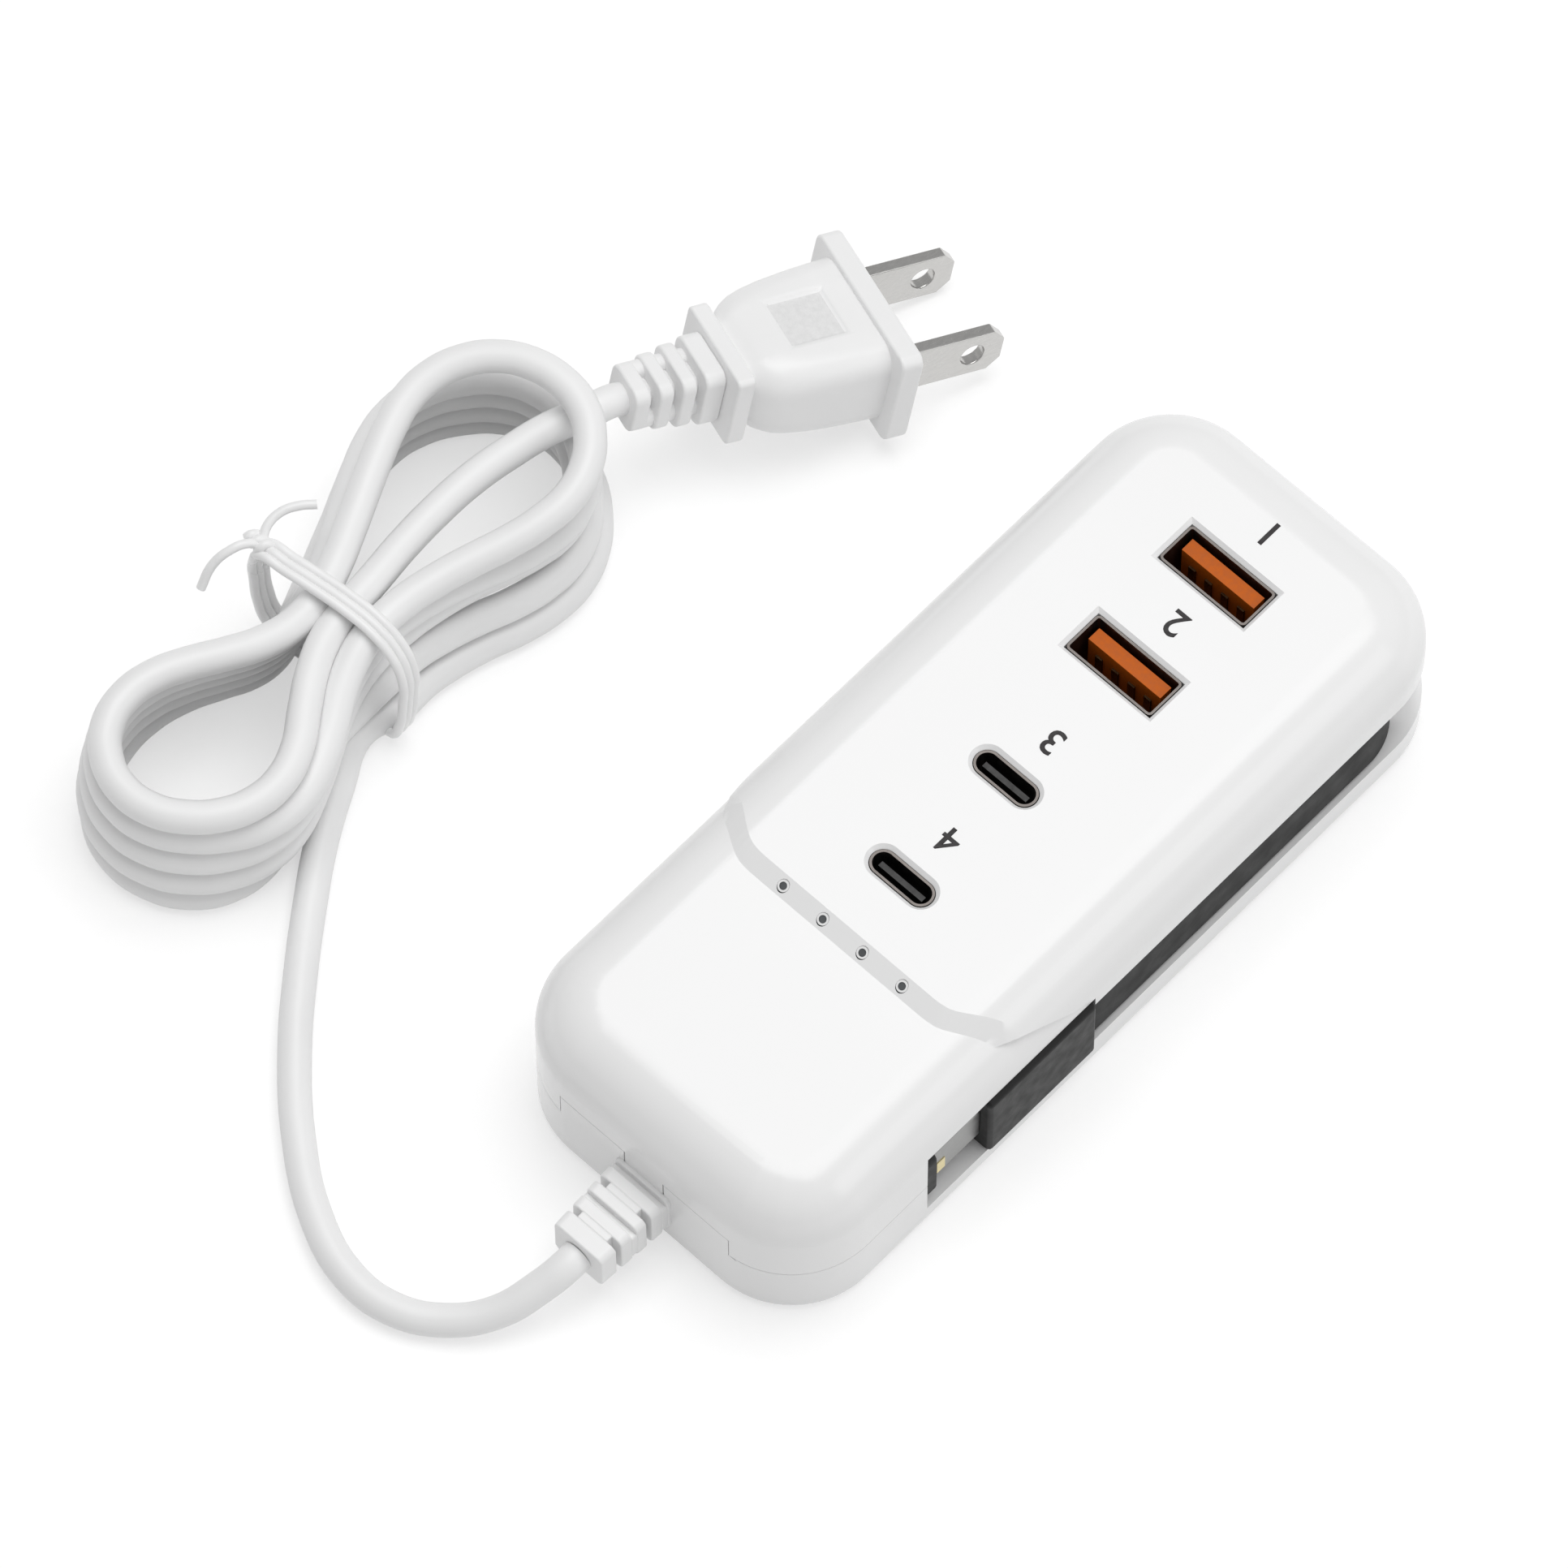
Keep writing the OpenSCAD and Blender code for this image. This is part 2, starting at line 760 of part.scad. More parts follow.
sink_x = -board_left + 0.5;
sink_near = bulk_pitch + bulk_d / 2 + 5.2 - bulk_near;
sink_length = port_c_far + 2.4 - sink_near;
sink_thickness = 1.5;
sink_foot = [3.4, 2, 2.4];
module heat_sink() {
    color("lightgray")
    translate([sink_x, sink_near, board_top]) {
        cube([sink_thickness, sink_length, tall_part - 0.4]);
        for (y = [-0.1, sink_length - sink_foot[1] + 0.1]) translate([0, y, 0]) cube(sink_foot);
    }
}

switch_size = [4.4, 10];
module power_switch() {
    color("black")
    translate([sink_x + sink_thickness, sink_near + (sink_length - switch_size[1]) / 2, board_top])
        cube([switch_size[0], switch_size[1], tall_part - 1.2]);
}

safety_d = 8;
safety_thickness = 3.4;
module safety_capacitor() {
    color("royalblue")
    translate([-3.9, board_notch[1] + 6.6 - board_near, board_top + safety_d / 2])
        rotate([90, 0, 0]) cylinder(h = safety_thickness, d = safety_d);
}

fuse_d = 3.6;
module fuse() {
    color("saddlebrown")
    translate([-10, board_notch[1] + 4.5 - board_near, board_top])
        cylinder(h = tall_part - 0.8, d = fuse_d);
}

chip_size = [5, 6, 1.2];
module control_chips() {
    color("black")
    for (y = [port_c_far - port_c_pitch + chip_size[1] / 2 + part_gap, port_c_far + 1.4])
        translate([board_right - 7.4, y, board_top]) cube(chip_size);
}

// Tube along a list of points, one ring at each
function unit(v) = v / norm(v);
function heading(points, i) =
    unit(points[min(i + 1, len(points) - 1)] - points[max(i - 1, 0)]);
function ring(points, i, d, sides, level) =
    let (t = heading(points, i), side = unit(cross(level, t)), up = cross(t, side))
    [for (k = [0:sides - 1])
        points[i] + d / 2 * (cos(360 * k / sides) * side + sin(360 * k / sides) * up)];

module tube(points, d, sides, level = [0, 0, 1]) {
    last = len(points) - 1;
    rings = [for (i = [0:last]) each ring(points, i, d, sides, level)];
    walls = [for (i = [0:last - 1], k = [0:sides - 1])
        let (a = i * sides + k, b = i * sides + (k + 1) % sides)
        each [[a, a + sides, b], [b, a + sides, b + sides]]];
    polyhedron(rings, concat(
        walls,
        [[for (k = [0:sides - 1]) k]],
        [[for (k = [sides - 1:-1:0]) last * sides + k]]));
}

// Two insulated conductors from the strain relief to the board
wire_d = 1.5;
module conductor() {
    start = -end_y + wall + relief_flange + relief_inside;
    tube([
        [1.4, start, relief_height], [1.4, start + 0.4, relief_height],
        [2.2, start + 1.2, relief_height + 1.6], [3, start + 1.1, board_top + 1],
        [3.2, start + 2.4, board_top + 2.2], [3.4, start + 4, board_top + 2],
        [3.4, start + 4.9, board_top + 0.8], [3.4, start + 4.9, board_top]
    ], wire_d, 8, [1, 0, 0]);
}
module live_wire() { color("black") mirror([1, 0, 0]) conductor(); }
module neutral_wire() { color("white") conductor(); }

// Rectangular relief: full-width grooves alternate with short side slots
module strain_relief() {
    groove = 1;
    bite = 1.5;
    color("white")
    difference() {
        union() {
            hull() {
                translate([0, -end_y - 0.005, relief_height])
                    cube([relief_width, 0.01, relief_thickness], center = true);
                translate([0, -end_y - relief_length + 0.005, relief_height])
                    cube([relief_width - relief_taper, 0.01, relief_thickness - relief_taper],
                        center = true);
            }
            translate([-neck_width / 2, -end_y - 0.01, relief_height - neck_height / 2])
                cube([neck_width, wall + 0.02, neck_height]);
            translate([-relief_width / 2 - 0.6, -end_y + wall, relief_height - relief_thickness / 2 - 0.2])
                cube([relief_width + 1.2, relief_flange, relief_thickness + 0.4]);
            translate([0, -end_y + wall, relief_height])
                rotate([-90, 0, 0]) cylinder(h = relief_flange + relief_inside, d = cord_d + 1);
        }
        for (at = [0.5, 5.2], z = [-1, 1])
            translate([0, -end_y - at - groove / 2, relief_height + z * (relief_thickness / 2)])
                cube([relief_width + over, groove, 2 * bite], center = true);
        for (at = [2.9, 7.6], x = [-1, 1])
            translate([x * relief_width / 2, -end_y - at - groove / 2, relief_height])
                cube([2 * bite + 0.6, groove, relief_thickness - 2.2], center = true);
    }
}

// Flat cable along the dock, round the far corner and in through its slot
module dock_cable() {
    color("dimgray") {
        translate([0, 0, dock_height - cable_height / 2]) linear_extrude(cable_height) cable_plan(0);
        translate([cable_x - cable_turn - anchor_lead - anchor_length,
                   turn_y + cable_turn - anchor_thickness / 2, board_top + fit])
            cube([anchor_length, anchor_thickness,
                  dock_height + cable_height / 2 - board_top - fit]);
    }
}

module dock_grip() {
    color("dimgray")
    translate([grip_x, -grip_end, dock_height])
        rotate([90, 0, 0])
            linear_extrude(grip_length) round_plan(grip_thickness, grip_height, 0.9);
}

contact_size = [0.4, 1.3, 2.4];
contact_y = grip_near - tip_length + 2.2;
module tip_blank(grow) {
    translate([grip_x - tip_thickness / 2, grip_near - tip_length, dock_height - tip_height / 2])
        cube([tip_thickness, tip_length, tip_height]);
}

module dock_contact() {
    color("khaki")
    translate([grip_x + tip_thickness / 2 - contact_size[0] + 0.1, contact_y - contact_size[1] / 2,
               dock_height - contact_size[2] / 2 - 1.2])
        cube(contact_size);
}

module dock_tip() {
    color("gray")
    difference() {
        translate([grip_x, grip_near, dock_height])
            rotate([90, 0, 0])
                linear_extrude(tip_length) round_plan(tip_thickness, tip_height, 0.85);
        dock_contact();
    }
}

// Run of the lead from the relief to the hank
module cord_lead() {
    start = [0, -end_y - relief_length, relief_height];
    end = hank_point([lead_in[0], lead_in[1], lead_lift]);
    along = unit(hank_point([lead_in[0], lead_in[1], 0]) - hank_point([lead_mid[0], lead_mid[1], 0]));
    color("white")
    tube(concat([start, start - [0, 1.2, 0]], lead_route, [end + 3 * along, end]), cord_d, cord_sides);
}

// Run from the hank's far end to the plug
module cord_tail() {
    middle = hank_point([0, upper_reach, tail_height]);
    end = [plug_tip[0], plug_tip[1], plug_rest];
    nose = [-sin(plug_yaw) * cos(plug_pitch), cos(plug_yaw) * cos(plug_pitch), sin(plug_pitch)];
    before = end - 0.8 * nose;
    out = unit([before[0] - middle[0], before[1] - middle[1], 0]);
    color("white")
    tube([middle + (upper_radius + cord_d / 2) * out, middle + (upper_radius + cord_d / 2 + 0.7) * out,
          before, end], cord_d, cord_sides);
}

// Half of the hank's outline: one round lobe drawn in to the waist
function waist_arc(radius, reach) =
    (reach * reach + waist_half * waist_half - radius * radius) / (2 * (radius - waist_half));
module hank_lobe(radius, reach) {
    bow = waist_arc(radius, reach);
    translate([0, reach]) circle(radius + cord_d / 2);
    difference() {
        polygon([[-(waist_half + bow), 0], [waist_half + bow, 0], [0, reach]]);
        for (x = [-1, 1])
            translate([x * (waist_half + bow), 0]) circle(bow - cord_d / 2 + hank_blend, $fn = 128);
    }
}

// Opening that a lobe's turns leave in their middle
module lobe_opening(radius, reach) {
    inner = radius + cord_d / 2 - lobe_band;
    lean = asin(inner / (reach - opening_start));
    foot = inner * cos(lean) - 2 * hank_blend;
    translate([0, reach]) circle(inner);
    polygon([[0, opening_start], [foot, reach - inner * sin(lean)],
             [-foot, reach - inner * sin(lean)]]);
}

function hank_point(p) = hank_place
    + [p[0] * cos(hank_turn) - p[1] * sin(hank_turn), p[0] * sin(hank_turn) + p[1] * cos(hank_turn), p[2]];

module hank_frame() {
    translate(hank_place) rotate([0, 0, hank_turn]) children();
}

// Level stretch of cord between two plan points
module straight_cord(from, to, level) {
    path = to - from;
    translate([from[0], from[1], level])
        rotate([0, 0, atan2(path[1], path[0])])
            rotate([0, 90, 0]) cylinder(h = norm(path), d = cord_d);
}

// The turns as one closed form, with the lead's last stretch at its foot and the
// tail's first across the far opening
module cord_hank() {
    color("white")
    hank_frame()
        difference() {
            union() {
                linear_extrude(hank_height)
                    difference() {
                        union() {
                            hank_lobe(upper_radius, upper_reach);
                            mirror([0, 1]) hank_lobe(lower_radius, lower_reach);
                        }
                        lobe_opening(upper_radius, upper_reach);
                        mirror([0, 1]) lobe_opening(lower_radius, lower_reach);
                    }
                straight_cord(lead_in, lead_mid, lead_lift);
                straight_cord(tail_inner[0], tail_inner[1], tail_height);
            }
            translate([-side_x, -tie_width / 2 - 0.2, -over])
                cube([body_width, tie_width + 0.4, tie_thickness + over]);
        }
}

tie_width = tie_wire * tie_count;
tie_knot = [-tie_reach + 0.8, -1.4, hank_height + 0.9];

// Band of three wires round the waist, twisted shut, with two free ends
module cord_tie() {
    width = 2 * tie_reach;
    height = hank_height + tie_thickness;
    color("whitesmoke")
    hank_frame() {
        translate([0, tie_width / 2, height / 2])
            rotate([90, 0, 0])
                linear_extrude(tie_width)
                    difference() {
                        round_plan(width, height, tie_corner);
                        round_plan(width - 2 * tie_thickness, height - 2 * tie_thickness,
                            tie_corner - tie_thickness);
                    }
        translate(tie_knot)
            rotate([0, -40, 0]) cylinder(h = 3.2, d = 2.4, center = true);
        tube([tie_knot + [-0.8, 0, 0.6], tie_knot + [-1.6, -1.6, 1], tie_knot + [-2.2, -3.6, 0.6],
              tie_knot + [-2.2, -5.8, -1], tie_knot + [-1.8, -7.6, -3.2]], tie_wire, 8);
        tube([tie_knot + [-0.8, 0, 0.6], tie_knot + [-1, 1.8, 1.4], tie_knot + [-0.2, 3.8, 2],
              tie_knot + [1.2, 5.6, 2.2]], tie_wire, 8);
    }
}

module plug_frame() {
    translate([plug_tip[0], plug_tip[1], plug_rest])
        rotate([0, 0, plug_yaw]) rotate([plug_pitch, 0, 0]) rotate([0, plug_roll, 0]) children();
}

// Moulded plug: ribbed relief, guard plate, shouldered body and flange
module plug_body() {
    relief_tip = 6.2;
    relief_root = 8.6;
    color("white")
    plug_frame()
        difference() {
            union() {
                hull() {
                    translate([0, 0.005, 0]) cube([relief_tip, 0.01, relief_tip], center = true);
                    translate([0, guard_y - 0.005, 0]) cube([relief_root, 0.01, relief_root], center = true);
                }
                plate(guard_y, guard_thickness, guard_width, guard_height, 0.8);
                hull() {
                    plate(shoulder_y - 0.5, 0.5, guard_width - 2.4, guard_height - 1.6, 3);
                    plate(shoulder_y + 3.4, 0.5, flange_width - 5.4, flange_height - 2.8, 3.4);
                    plate(flange_y - 0.5, 0.5, flange_width - 4.4, flange_height - 2.4, 2.6);
                }
                plate(flange_y, flange_thickness, flange_width, flange_height, 1.4);
            }
            for (at = [2.6, 5.6, 8.6]) {
                for (z = [-1, 1])
                    translate([0, at, z * relief_root / 2]) cube([12, 1.1, 3], center = true);
                for (x = [-1, 1])
                    translate([x * relief_root / 2, at, 0]) cube([2.6, 1.1, 12], center = true);
            }
            translate([-4.3, shoulder_y + 3.2, flange_height / 2 - 1.9]) cube([8.6, 8.2, 3]);
            for (x = [-1, 1])
                translate([x * blade_spacing / 2 - blade_thickness / 2, face_y - blade_root, -blade_width / 2])
                    cube([blade_thickness, blade_root + over, blade_width]);
        }
}

module plate(at, thickness, width, height, radius) {
    translate([0, at + thickness, 0])
        rotate([90, 0, 0]) linear_extrude(thickness) round_plan(width, height, radius);
}

// Flat blade with a round hole near its bevelled nose
module blade(side) {
    half = blade_width / 2;
    nose = 1.6;
    color("silver")
    plug_frame()
        translate([side * blade_spacing / 2 - blade_thickness / 2, face_y, 0])
            rotate([90, 0, 90])
                linear_extrude(blade_thickness)
                    difference() {
                        polygon([[-blade_root, -half], [blade_length - nose, -half],
                                 [blade_length, -half + nose], [blade_length, half - nose],
                                 [blade_length - nose, half], [-blade_root, half]]);
                        translate([blade_length - blade_hole_at, 0]) circle(d = blade_hole_d);
                    }
}
module plug_blade_left() { blade(-1); }
module plug_blade_right() { blade(1); }

top_housing();
bottom_housing();
housing_screws();
light_pipe();
status_leds();
main_board();
usb_a_shell(port_a_far);  // usb_a_shell_far
usb_a_shell(port_a_far - port_a_pitch);  // usb_a_shell_near
usb_a_tongue(port_a_far);  // usb_a_tongue_far
usb_a_tongue(port_a_far - port_a_pitch);  // usb_a_tongue_near
usb_a_contacts(port_a_far);  // usb_a_contacts_far
usb_a_contacts(port_a_far - port_a_pitch);  // usb_a_contacts_near
usb_c_shell(port_c_far);  // usb_c_shell_far
usb_c_shell(port_c_far - port_c_pitch);  // usb_c_shell_near
usb_c_tongue(port_c_far);  // usb_c_tongue_far
usb_c_tongue(port_c_far - port_c_pitch);  // usb_c_tongue_near
transformer_core();
transformer_winding();
transformer_base();
bulk_capacitors();
output_capacitors();
line_choke();
output_choke();
bridge_rectifier();
power_switch();
heat_sink();
safety_capacitor();
fuse();
control_chips();
live_wire();
neutral_wire();
strain_relief();
dock_cable();
dock_grip();
dock_tip();
dock_contact();
cord_lead();
cord_hank();
cord_tail();
cord_tie();
plug_body();
plug_blade_left();
plug_blade_right();
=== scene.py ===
import math

import bmesh
import bpy
from mathutils import Matrix, Vector


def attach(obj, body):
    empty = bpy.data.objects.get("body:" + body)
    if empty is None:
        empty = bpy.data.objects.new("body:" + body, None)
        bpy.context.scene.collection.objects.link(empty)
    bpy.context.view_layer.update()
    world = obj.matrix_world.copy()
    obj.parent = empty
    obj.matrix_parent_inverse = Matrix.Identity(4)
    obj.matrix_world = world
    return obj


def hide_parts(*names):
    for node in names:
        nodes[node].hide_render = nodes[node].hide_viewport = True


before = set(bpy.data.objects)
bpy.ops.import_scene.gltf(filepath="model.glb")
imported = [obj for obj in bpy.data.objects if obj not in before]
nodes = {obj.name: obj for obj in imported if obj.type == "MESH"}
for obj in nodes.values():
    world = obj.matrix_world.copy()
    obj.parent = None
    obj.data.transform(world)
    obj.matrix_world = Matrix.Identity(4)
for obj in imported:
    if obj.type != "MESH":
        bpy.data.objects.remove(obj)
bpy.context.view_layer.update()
MM = 0.001

# Camera: the photograph's view, from high over the near right corner with a long lens.
# Azimuth, elevation and roll come from the outline of the housing and its four ports.
camera_azimuth = math.radians(43.618)
camera_elevation = math.radians(63.501)
camera_roll = math.radians(-0.335)
camera_place = Vector((0.442263, -0.496910, 1.362438))
camera = bpy.data.objects.new("camera", bpy.data.cameras.new("camera"))
bpy.context.scene.collection.objects.link(camera)
camera.matrix_world = (
    Matrix.Translation(camera_place)
    @ Matrix.Rotation(camera_azimuth, 4, "Z")
    @ Matrix.Rotation(math.pi / 2 - camera_elevation, 4, "X")
    @ Matrix.Rotation(camera_roll, 4, "Z")
)
camera.data.sensor_width = 36
camera.data.lens = 303.7
camera.data.clip_start = 0.05
camera.data.clip_end = 20
bpy.context.scene.camera = camera


# Mains lead: a round two-core cord under white flexible vinyl, 4 mm thick.
# It leaves the strip's relief, lies on the table, makes five turns that are pinched at a
# waist by the tie, and comes out of the top of the hank between its strands to the plug.
cord_width = 4 * MM
hank_middle = Vector((-73, -29.5, 0)) * MM
hank_turn = math.radians(3)
hank_frame = Matrix.Translation(hank_middle) @ Matrix.Rotation(hank_turn, 4, "Z")
# The run from the relief over the table to the hank's waist, in millimetres of the frame.
lead_points = [
    (0, -66.8, 7.6), (0, -68.6, 7.5), (-0.9, -72, 5.9), (-3, -76.8, 3.6), (-7, -81.2, 2.3),
    (-12.5, -84.2, 2), (-19, -84.6, 2), (-26.5, -82, 2), (-35, -76.2, 2), (-43.2, -68.4, 2),
    (-48.8, -61.8, 2), (-54.6, -54.2, 2), (-59, -47.9, 2), (-62.8, -41.2, 2), (-65.8, -34.9, 2),
]
plug_tip = Vector((-68.4, 12.2, 16.53)) * MM
plug_yaw = math.radians(-22)
plug_pitch = math.radians(-15)
plug_roll = math.radians(-9)
plug_frame = (
    Matrix.Translation(plug_tip)
    @ Matrix.Rotation(plug_yaw, 4, "Z")
    @ Matrix.Rotation(plug_pitch, 4, "X")
    @ Matrix.Rotation(plug_roll, 4, "Y")
)
# Plan of one turn in the hank's own millimetres: from the waist round the far lobe and back,
# then round the near lobe.
turn_plan = [
    (5.2, 0), (5.5, 4.6), (6.6, 9), (8.2, 13.4), (10, 17.6), (11.4, 21.8), (12, 26), (11.2, 30),
    (9.1, 33.3), (5.9, 35.6), (2, 36.5), (-2.1, 36.1), (-5.8, 34.4), (-8.7, 31.5), (-10.4, 27.9),
    (-10.8, 24), (-10, 20), (-8.6, 15.9), (-7, 11.8), (-5.3, 7.6), (-3.6, 3.2), (-2.4, -1.2),
    (-2.2, -5.4), (-3.4, -9.6), (-5.6, -13.4), (-8, -17), (-10, -20.8), (-10.8, -25), (-9.9, -29),
    (-7.2, -32.2), (-3.4, -33.9), (0.8, -33.8), (4.6, -32), (7.6, -29), (9.5, -25.2), (9.8, -21),
    (8.7, -16.6), (7.3, -12.4), (6, -8.2), (5.3, -4),
]
# How far each turn stands outside that plan, at ten places equally far apart along it, from
# the lowest turn to the top one.
turn_spread = [
    [3, 2.4, 0.4, 2.4, 4.4, 5.4, 4.6, 1.7, 1.8, -1.8],
    [1, 1, -0.6, 1.8, 4, 4.4, 3.6, 1.9, 1.8, 0.8],
    [-0.6, -1.6, -1.4, 1.6, 3.4, 3.2, 2.6, 1.4, 1.2, 1.2],
    [-0.4, -0.4, -0.6, 1.2, 2.6, 1.8, 1.4, 0.7, 0.5, 1.9],
    [0, 0, 0, 0, 0, 0, 0, 0, 0, 0],
]
# Each turn climbs by one strand near its end, and the top turn arches up over the far lobe.
strand_rise = 4
climb_from, climb_points = 34.5, 6
hump_height, hump_points = 4, 20
last_turn_point = 32
# The top turn's last stretch draws in between the others and goes on as the run to the plug.
last_return = [
    (7.6, -29.1, 18), (9.4, -25.6, 18), (9.8, -21.4, 18), (8.5, -17.2, 18), (5.9, -13, 18),
    (3.5, -9, 18), (1.8, -4.6, 18), (1.2, 0.2, 18), (0.9, 5, 17.9), (0.5, 10, 17.7), (0.4, 16, 17.5),
    (0.8, 22, 17.4), (1.9, 27.6, 17.4), (3.4, 32.8, 17.5), (5.2, 37, 17.3),
]


def smooth(share):
    """Ease from 0 to 1."""
    share = min(1, max(0, share))
    return share * share * (3 - 2 * share)


spreads = [spread for turn in turn_spread for spread in turn] + [0]
count = len(turn_plan)
places_per_turn = len(turn_spread[0])
route = [Vector(p) * MM for p in lead_points]
for turn in range(len(turn_spread)):
    top = turn == len(turn_spread) - 1
    for i, (x, y) in enumerate(turn_plan):
        if top and i > last_turn_point:
            break
        before, after = turn_plan[i - 1], turn_plan[(i + 1) % count]
        along = Vector((after[0] - before[0], after[1] - before[1])).normalized()
        at = (turn + i / count) * places_per_turn
        near = int(at)
        spread = spreads[near] + (spreads[near + 1] - spreads[near]) * smooth(at - near)
        rise = strand_rise * smooth((i - climb_from) / climb_points)
        if top and i < hump_points:
            rise += hump_height * math.sin(math.pi * i / hump_points) ** 2
        place = Vector((x + along.y * spread, y - along.x * spread, 2 + strand_rise * turn + rise))
        route.append(hank_frame @ (place * MM))
for point in last_return:
    route.append(hank_frame @ (Vector(point) * MM))
for back in (1.5, 0):
    route.append(plug_frame @ (Vector((0, -back, 0)) * MM))

cord_curve = bpy.data.curves.new("mains_lead", "CURVE")
cord_curve.dimensions = "3D"
cord_curve.bevel_depth = cord_width / 2
cord_curve.bevel_resolution = 5
cord_curve.resolution_u = 5
cord_curve.use_fill_caps = True
spline = cord_curve.splines.new("BEZIER")
spline.bezier_points.add(len(route) - 1)
for bead, place in zip(spline.bezier_points, route):
    bead.co = place
    bead.handle_left_type = bead.handle_right_type = "AUTO"
mains_lead = bpy.data.objects.new("mains_lead", cord_curve)
bpy.context.scene.collection.objects.link(mains_lead)


def linear(code):
    """Turn an sRGB hex colour into the linear one that a shader takes."""
    parts = [int(code[i:i + 2], 16) / 255 for i in (1, 3, 5)]
    return [c / 12.92 if c <= 0.04045 else ((c + 0.055) / 1.055) ** 2.4 for c in parts] + [1]


def add_node(tree, kind, inputs, **properties):
    """Add one node, set its properties, and link or fill its inputs."""
    node = tree.nodes.new(kind)
    for name, value in properties.items():
        setattr(node, name, value)
    for socket, value in inputs.items():
        if isinstance(value, bpy.types.NodeSocket):
            tree.links.new(value, node.inputs[socket])
        else:
            node.inputs[socket].default_value = value
    return node


def start_material(name, code, roughness, **sockets):
    """Start a material: its plain colour and roughness sit on the shader's own sockets."""
    material = bpy.data.materials.new(name)
    material.use_nodes = True
    shader = material.node_tree.nodes["Principled BSDF"]
    shader.inputs["Base Color"].default_value = linear(code)
    shader.inputs["Roughness"].default_value = roughness
    for socket, value in sockets.items():
        shader.inputs[socket.replace("_", " ")].default_value = value
    coords = add_node(material.node_tree, "ShaderNodeTexCoord", {})
    return material, material.node_tree, shader, coords.outputs["Object"]


def vary(tree, shader, place, code, grain, value_range, rough_range):
    """Clouds of the given grain, in mm, that shift a surface's tone and its gloss."""
    cloud = add_node(tree, "ShaderNodeTexNoise", {"Vector": place, "Scale": 1000 / grain, "Detail": 3})
    tone = add_node(tree, "ShaderNodeMapRange", {
        "Value": cloud.outputs["Fac"], "From Min": 0.3, "From Max": 0.7,
        "To Min": value_range[0], "To Max": value_range[1],
    })
    tint = add_node(tree, "ShaderNodeHueSaturation", {"Color": linear(code), "Value": tone.outputs[0]})
    gloss = add_node(tree, "ShaderNodeMapRange", {
        "Value": cloud.outputs["Fac"], "From Min": 0.3, "From Max": 0.7,
        "To Min": rough_range[0], "To Max": rough_range[1],
    })
    tree.links.new(tint.outputs["Color"], shader.inputs["Base Color"])
    tree.links.new(gloss.outputs[0], shader.inputs["Roughness"])
    return cloud


def dimple(tree, shader, place, grain, depth, strength):
    """Fine relief of a moulded, drawn or sprayed surface: grain and depth are in mm."""
    grit = add_node(tree, "ShaderNodeTexNoise", {"Vector": place, "Scale": 1000 / grain, "Detail": 2})
    bump = add_node(tree, "ShaderNodeBump", {
        "Height": grit.outputs["Fac"], "Distance": depth * MM, "Strength": strength,
    })
    tree.links.new(bump.outputs["Normal"], shader.inputs["Normal"])


# Soft PVC, extruded: white, a broad dull highlight, and the faint orange peel of the die.
cord_vinyl, tree, shader, place = start_material("cord_soft_pvc", "#f4f4f4", 0.42)
vary(tree, shader, place, "#f4f4f4", 14, (0.97, 1.0), (0.38, 0.48))
dimple(tree, shader, place, 1.3, 0.03, 0.35)
cord_curve.materials.append(cord_vinyl)

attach(mains_lead, "root")
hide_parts("cord_lead", "cord_hank", "cord_tail")


# Tie: a flat band of three thin wires under white vinyl, wound once round the waist of the
# hank and twisted shut on top. Its two loose ends stand off to the left and to the back.
tie_wire = 1.15 * MM
tie_pitch = 1.0 * MM
band_loop = [
    (-9.9, -1.4, 20.9), (-6.6, -1.3, 21.2), (-2.5, -0.9, 21.1), (2, -0.6, 20.9), (6.2, -0.6, 20.4),
    (9.4, -0.8, 18.6), (11.2, -1.2, 15.4), (11.6, -1.8, 11), (11.4, -2.3, 6.4), (10, -2.2, 2.4),
    (7, -1.4, 0.9), (2, -0.8, 0.7), (-3, -0.6, 0.7), (-7.4, -0.8, 1), (-10.2, -1, 3.2),
    (-11.3, -1.2, 7.6), (-11.5, -1.3, 12.6), (-11.3, -1.4, 17.6),
]
loose_ends = [
    [(-10.6, -1.4, 21), (-11.6, -2.6, 22), (-12.6, -4.6, 22), (-13.4, -6.8, 20.6), (-13.4, -9, 18)],
    [(-10.6, -1.4, 21), (-11.4, 0.4, 22), (-11.2, 2.6, 22.6), (-10, 4.6, 22.8), (-8.6, 6, 22.8)],
]
tie_curve = bpy.data.curves.new("hank_tie", "CURVE")
tie_curve.dimensions = "3D"
tie_curve.bevel_depth = tie_wire / 2
tie_curve.bevel_resolution = 3
tie_curve.resolution_u = 8
tie_curve.use_fill_caps = True


def add_wire(points, closed):
    """Run one wire of the tie through points in the hank's own millimetres."""
    spline = tie_curve.splines.new("BEZIER")
    spline.bezier_points.add(len(points) - 1)
    spline.use_cyclic_u = closed
    for bead, point in zip(spline.bezier_points, points):
        bead.co = hank_frame @ (Vector(point) * MM)
        bead.handle_left_type = bead.handle_right_type = "AUTO"


for step in (-1, 0, 1):
    add_wire([(x, y + step * tie_pitch / MM, z) for x, y, z in band_loop], True)
for wire in loose_ends:
    add_wire(wire, False)
# The twist: both ends wind round each other, from the band to where they part.
twist_radius = 0.65
for phase in (0, math.pi):
    twist = []
    for i in range(8):
        angle = phase + 1.3 * i
        across, up = twist_radius * math.cos(angle), twist_radius * math.sin(angle)
        twist.append((-9.6 - 0.42 * i, -1.4 + across, 21.1 + up))
    add_wire(twist, False)
hank_tie = bpy.data.objects.new("hank_tie", tie_curve)
bpy.context.scene.collection.objects.link(hank_tie)
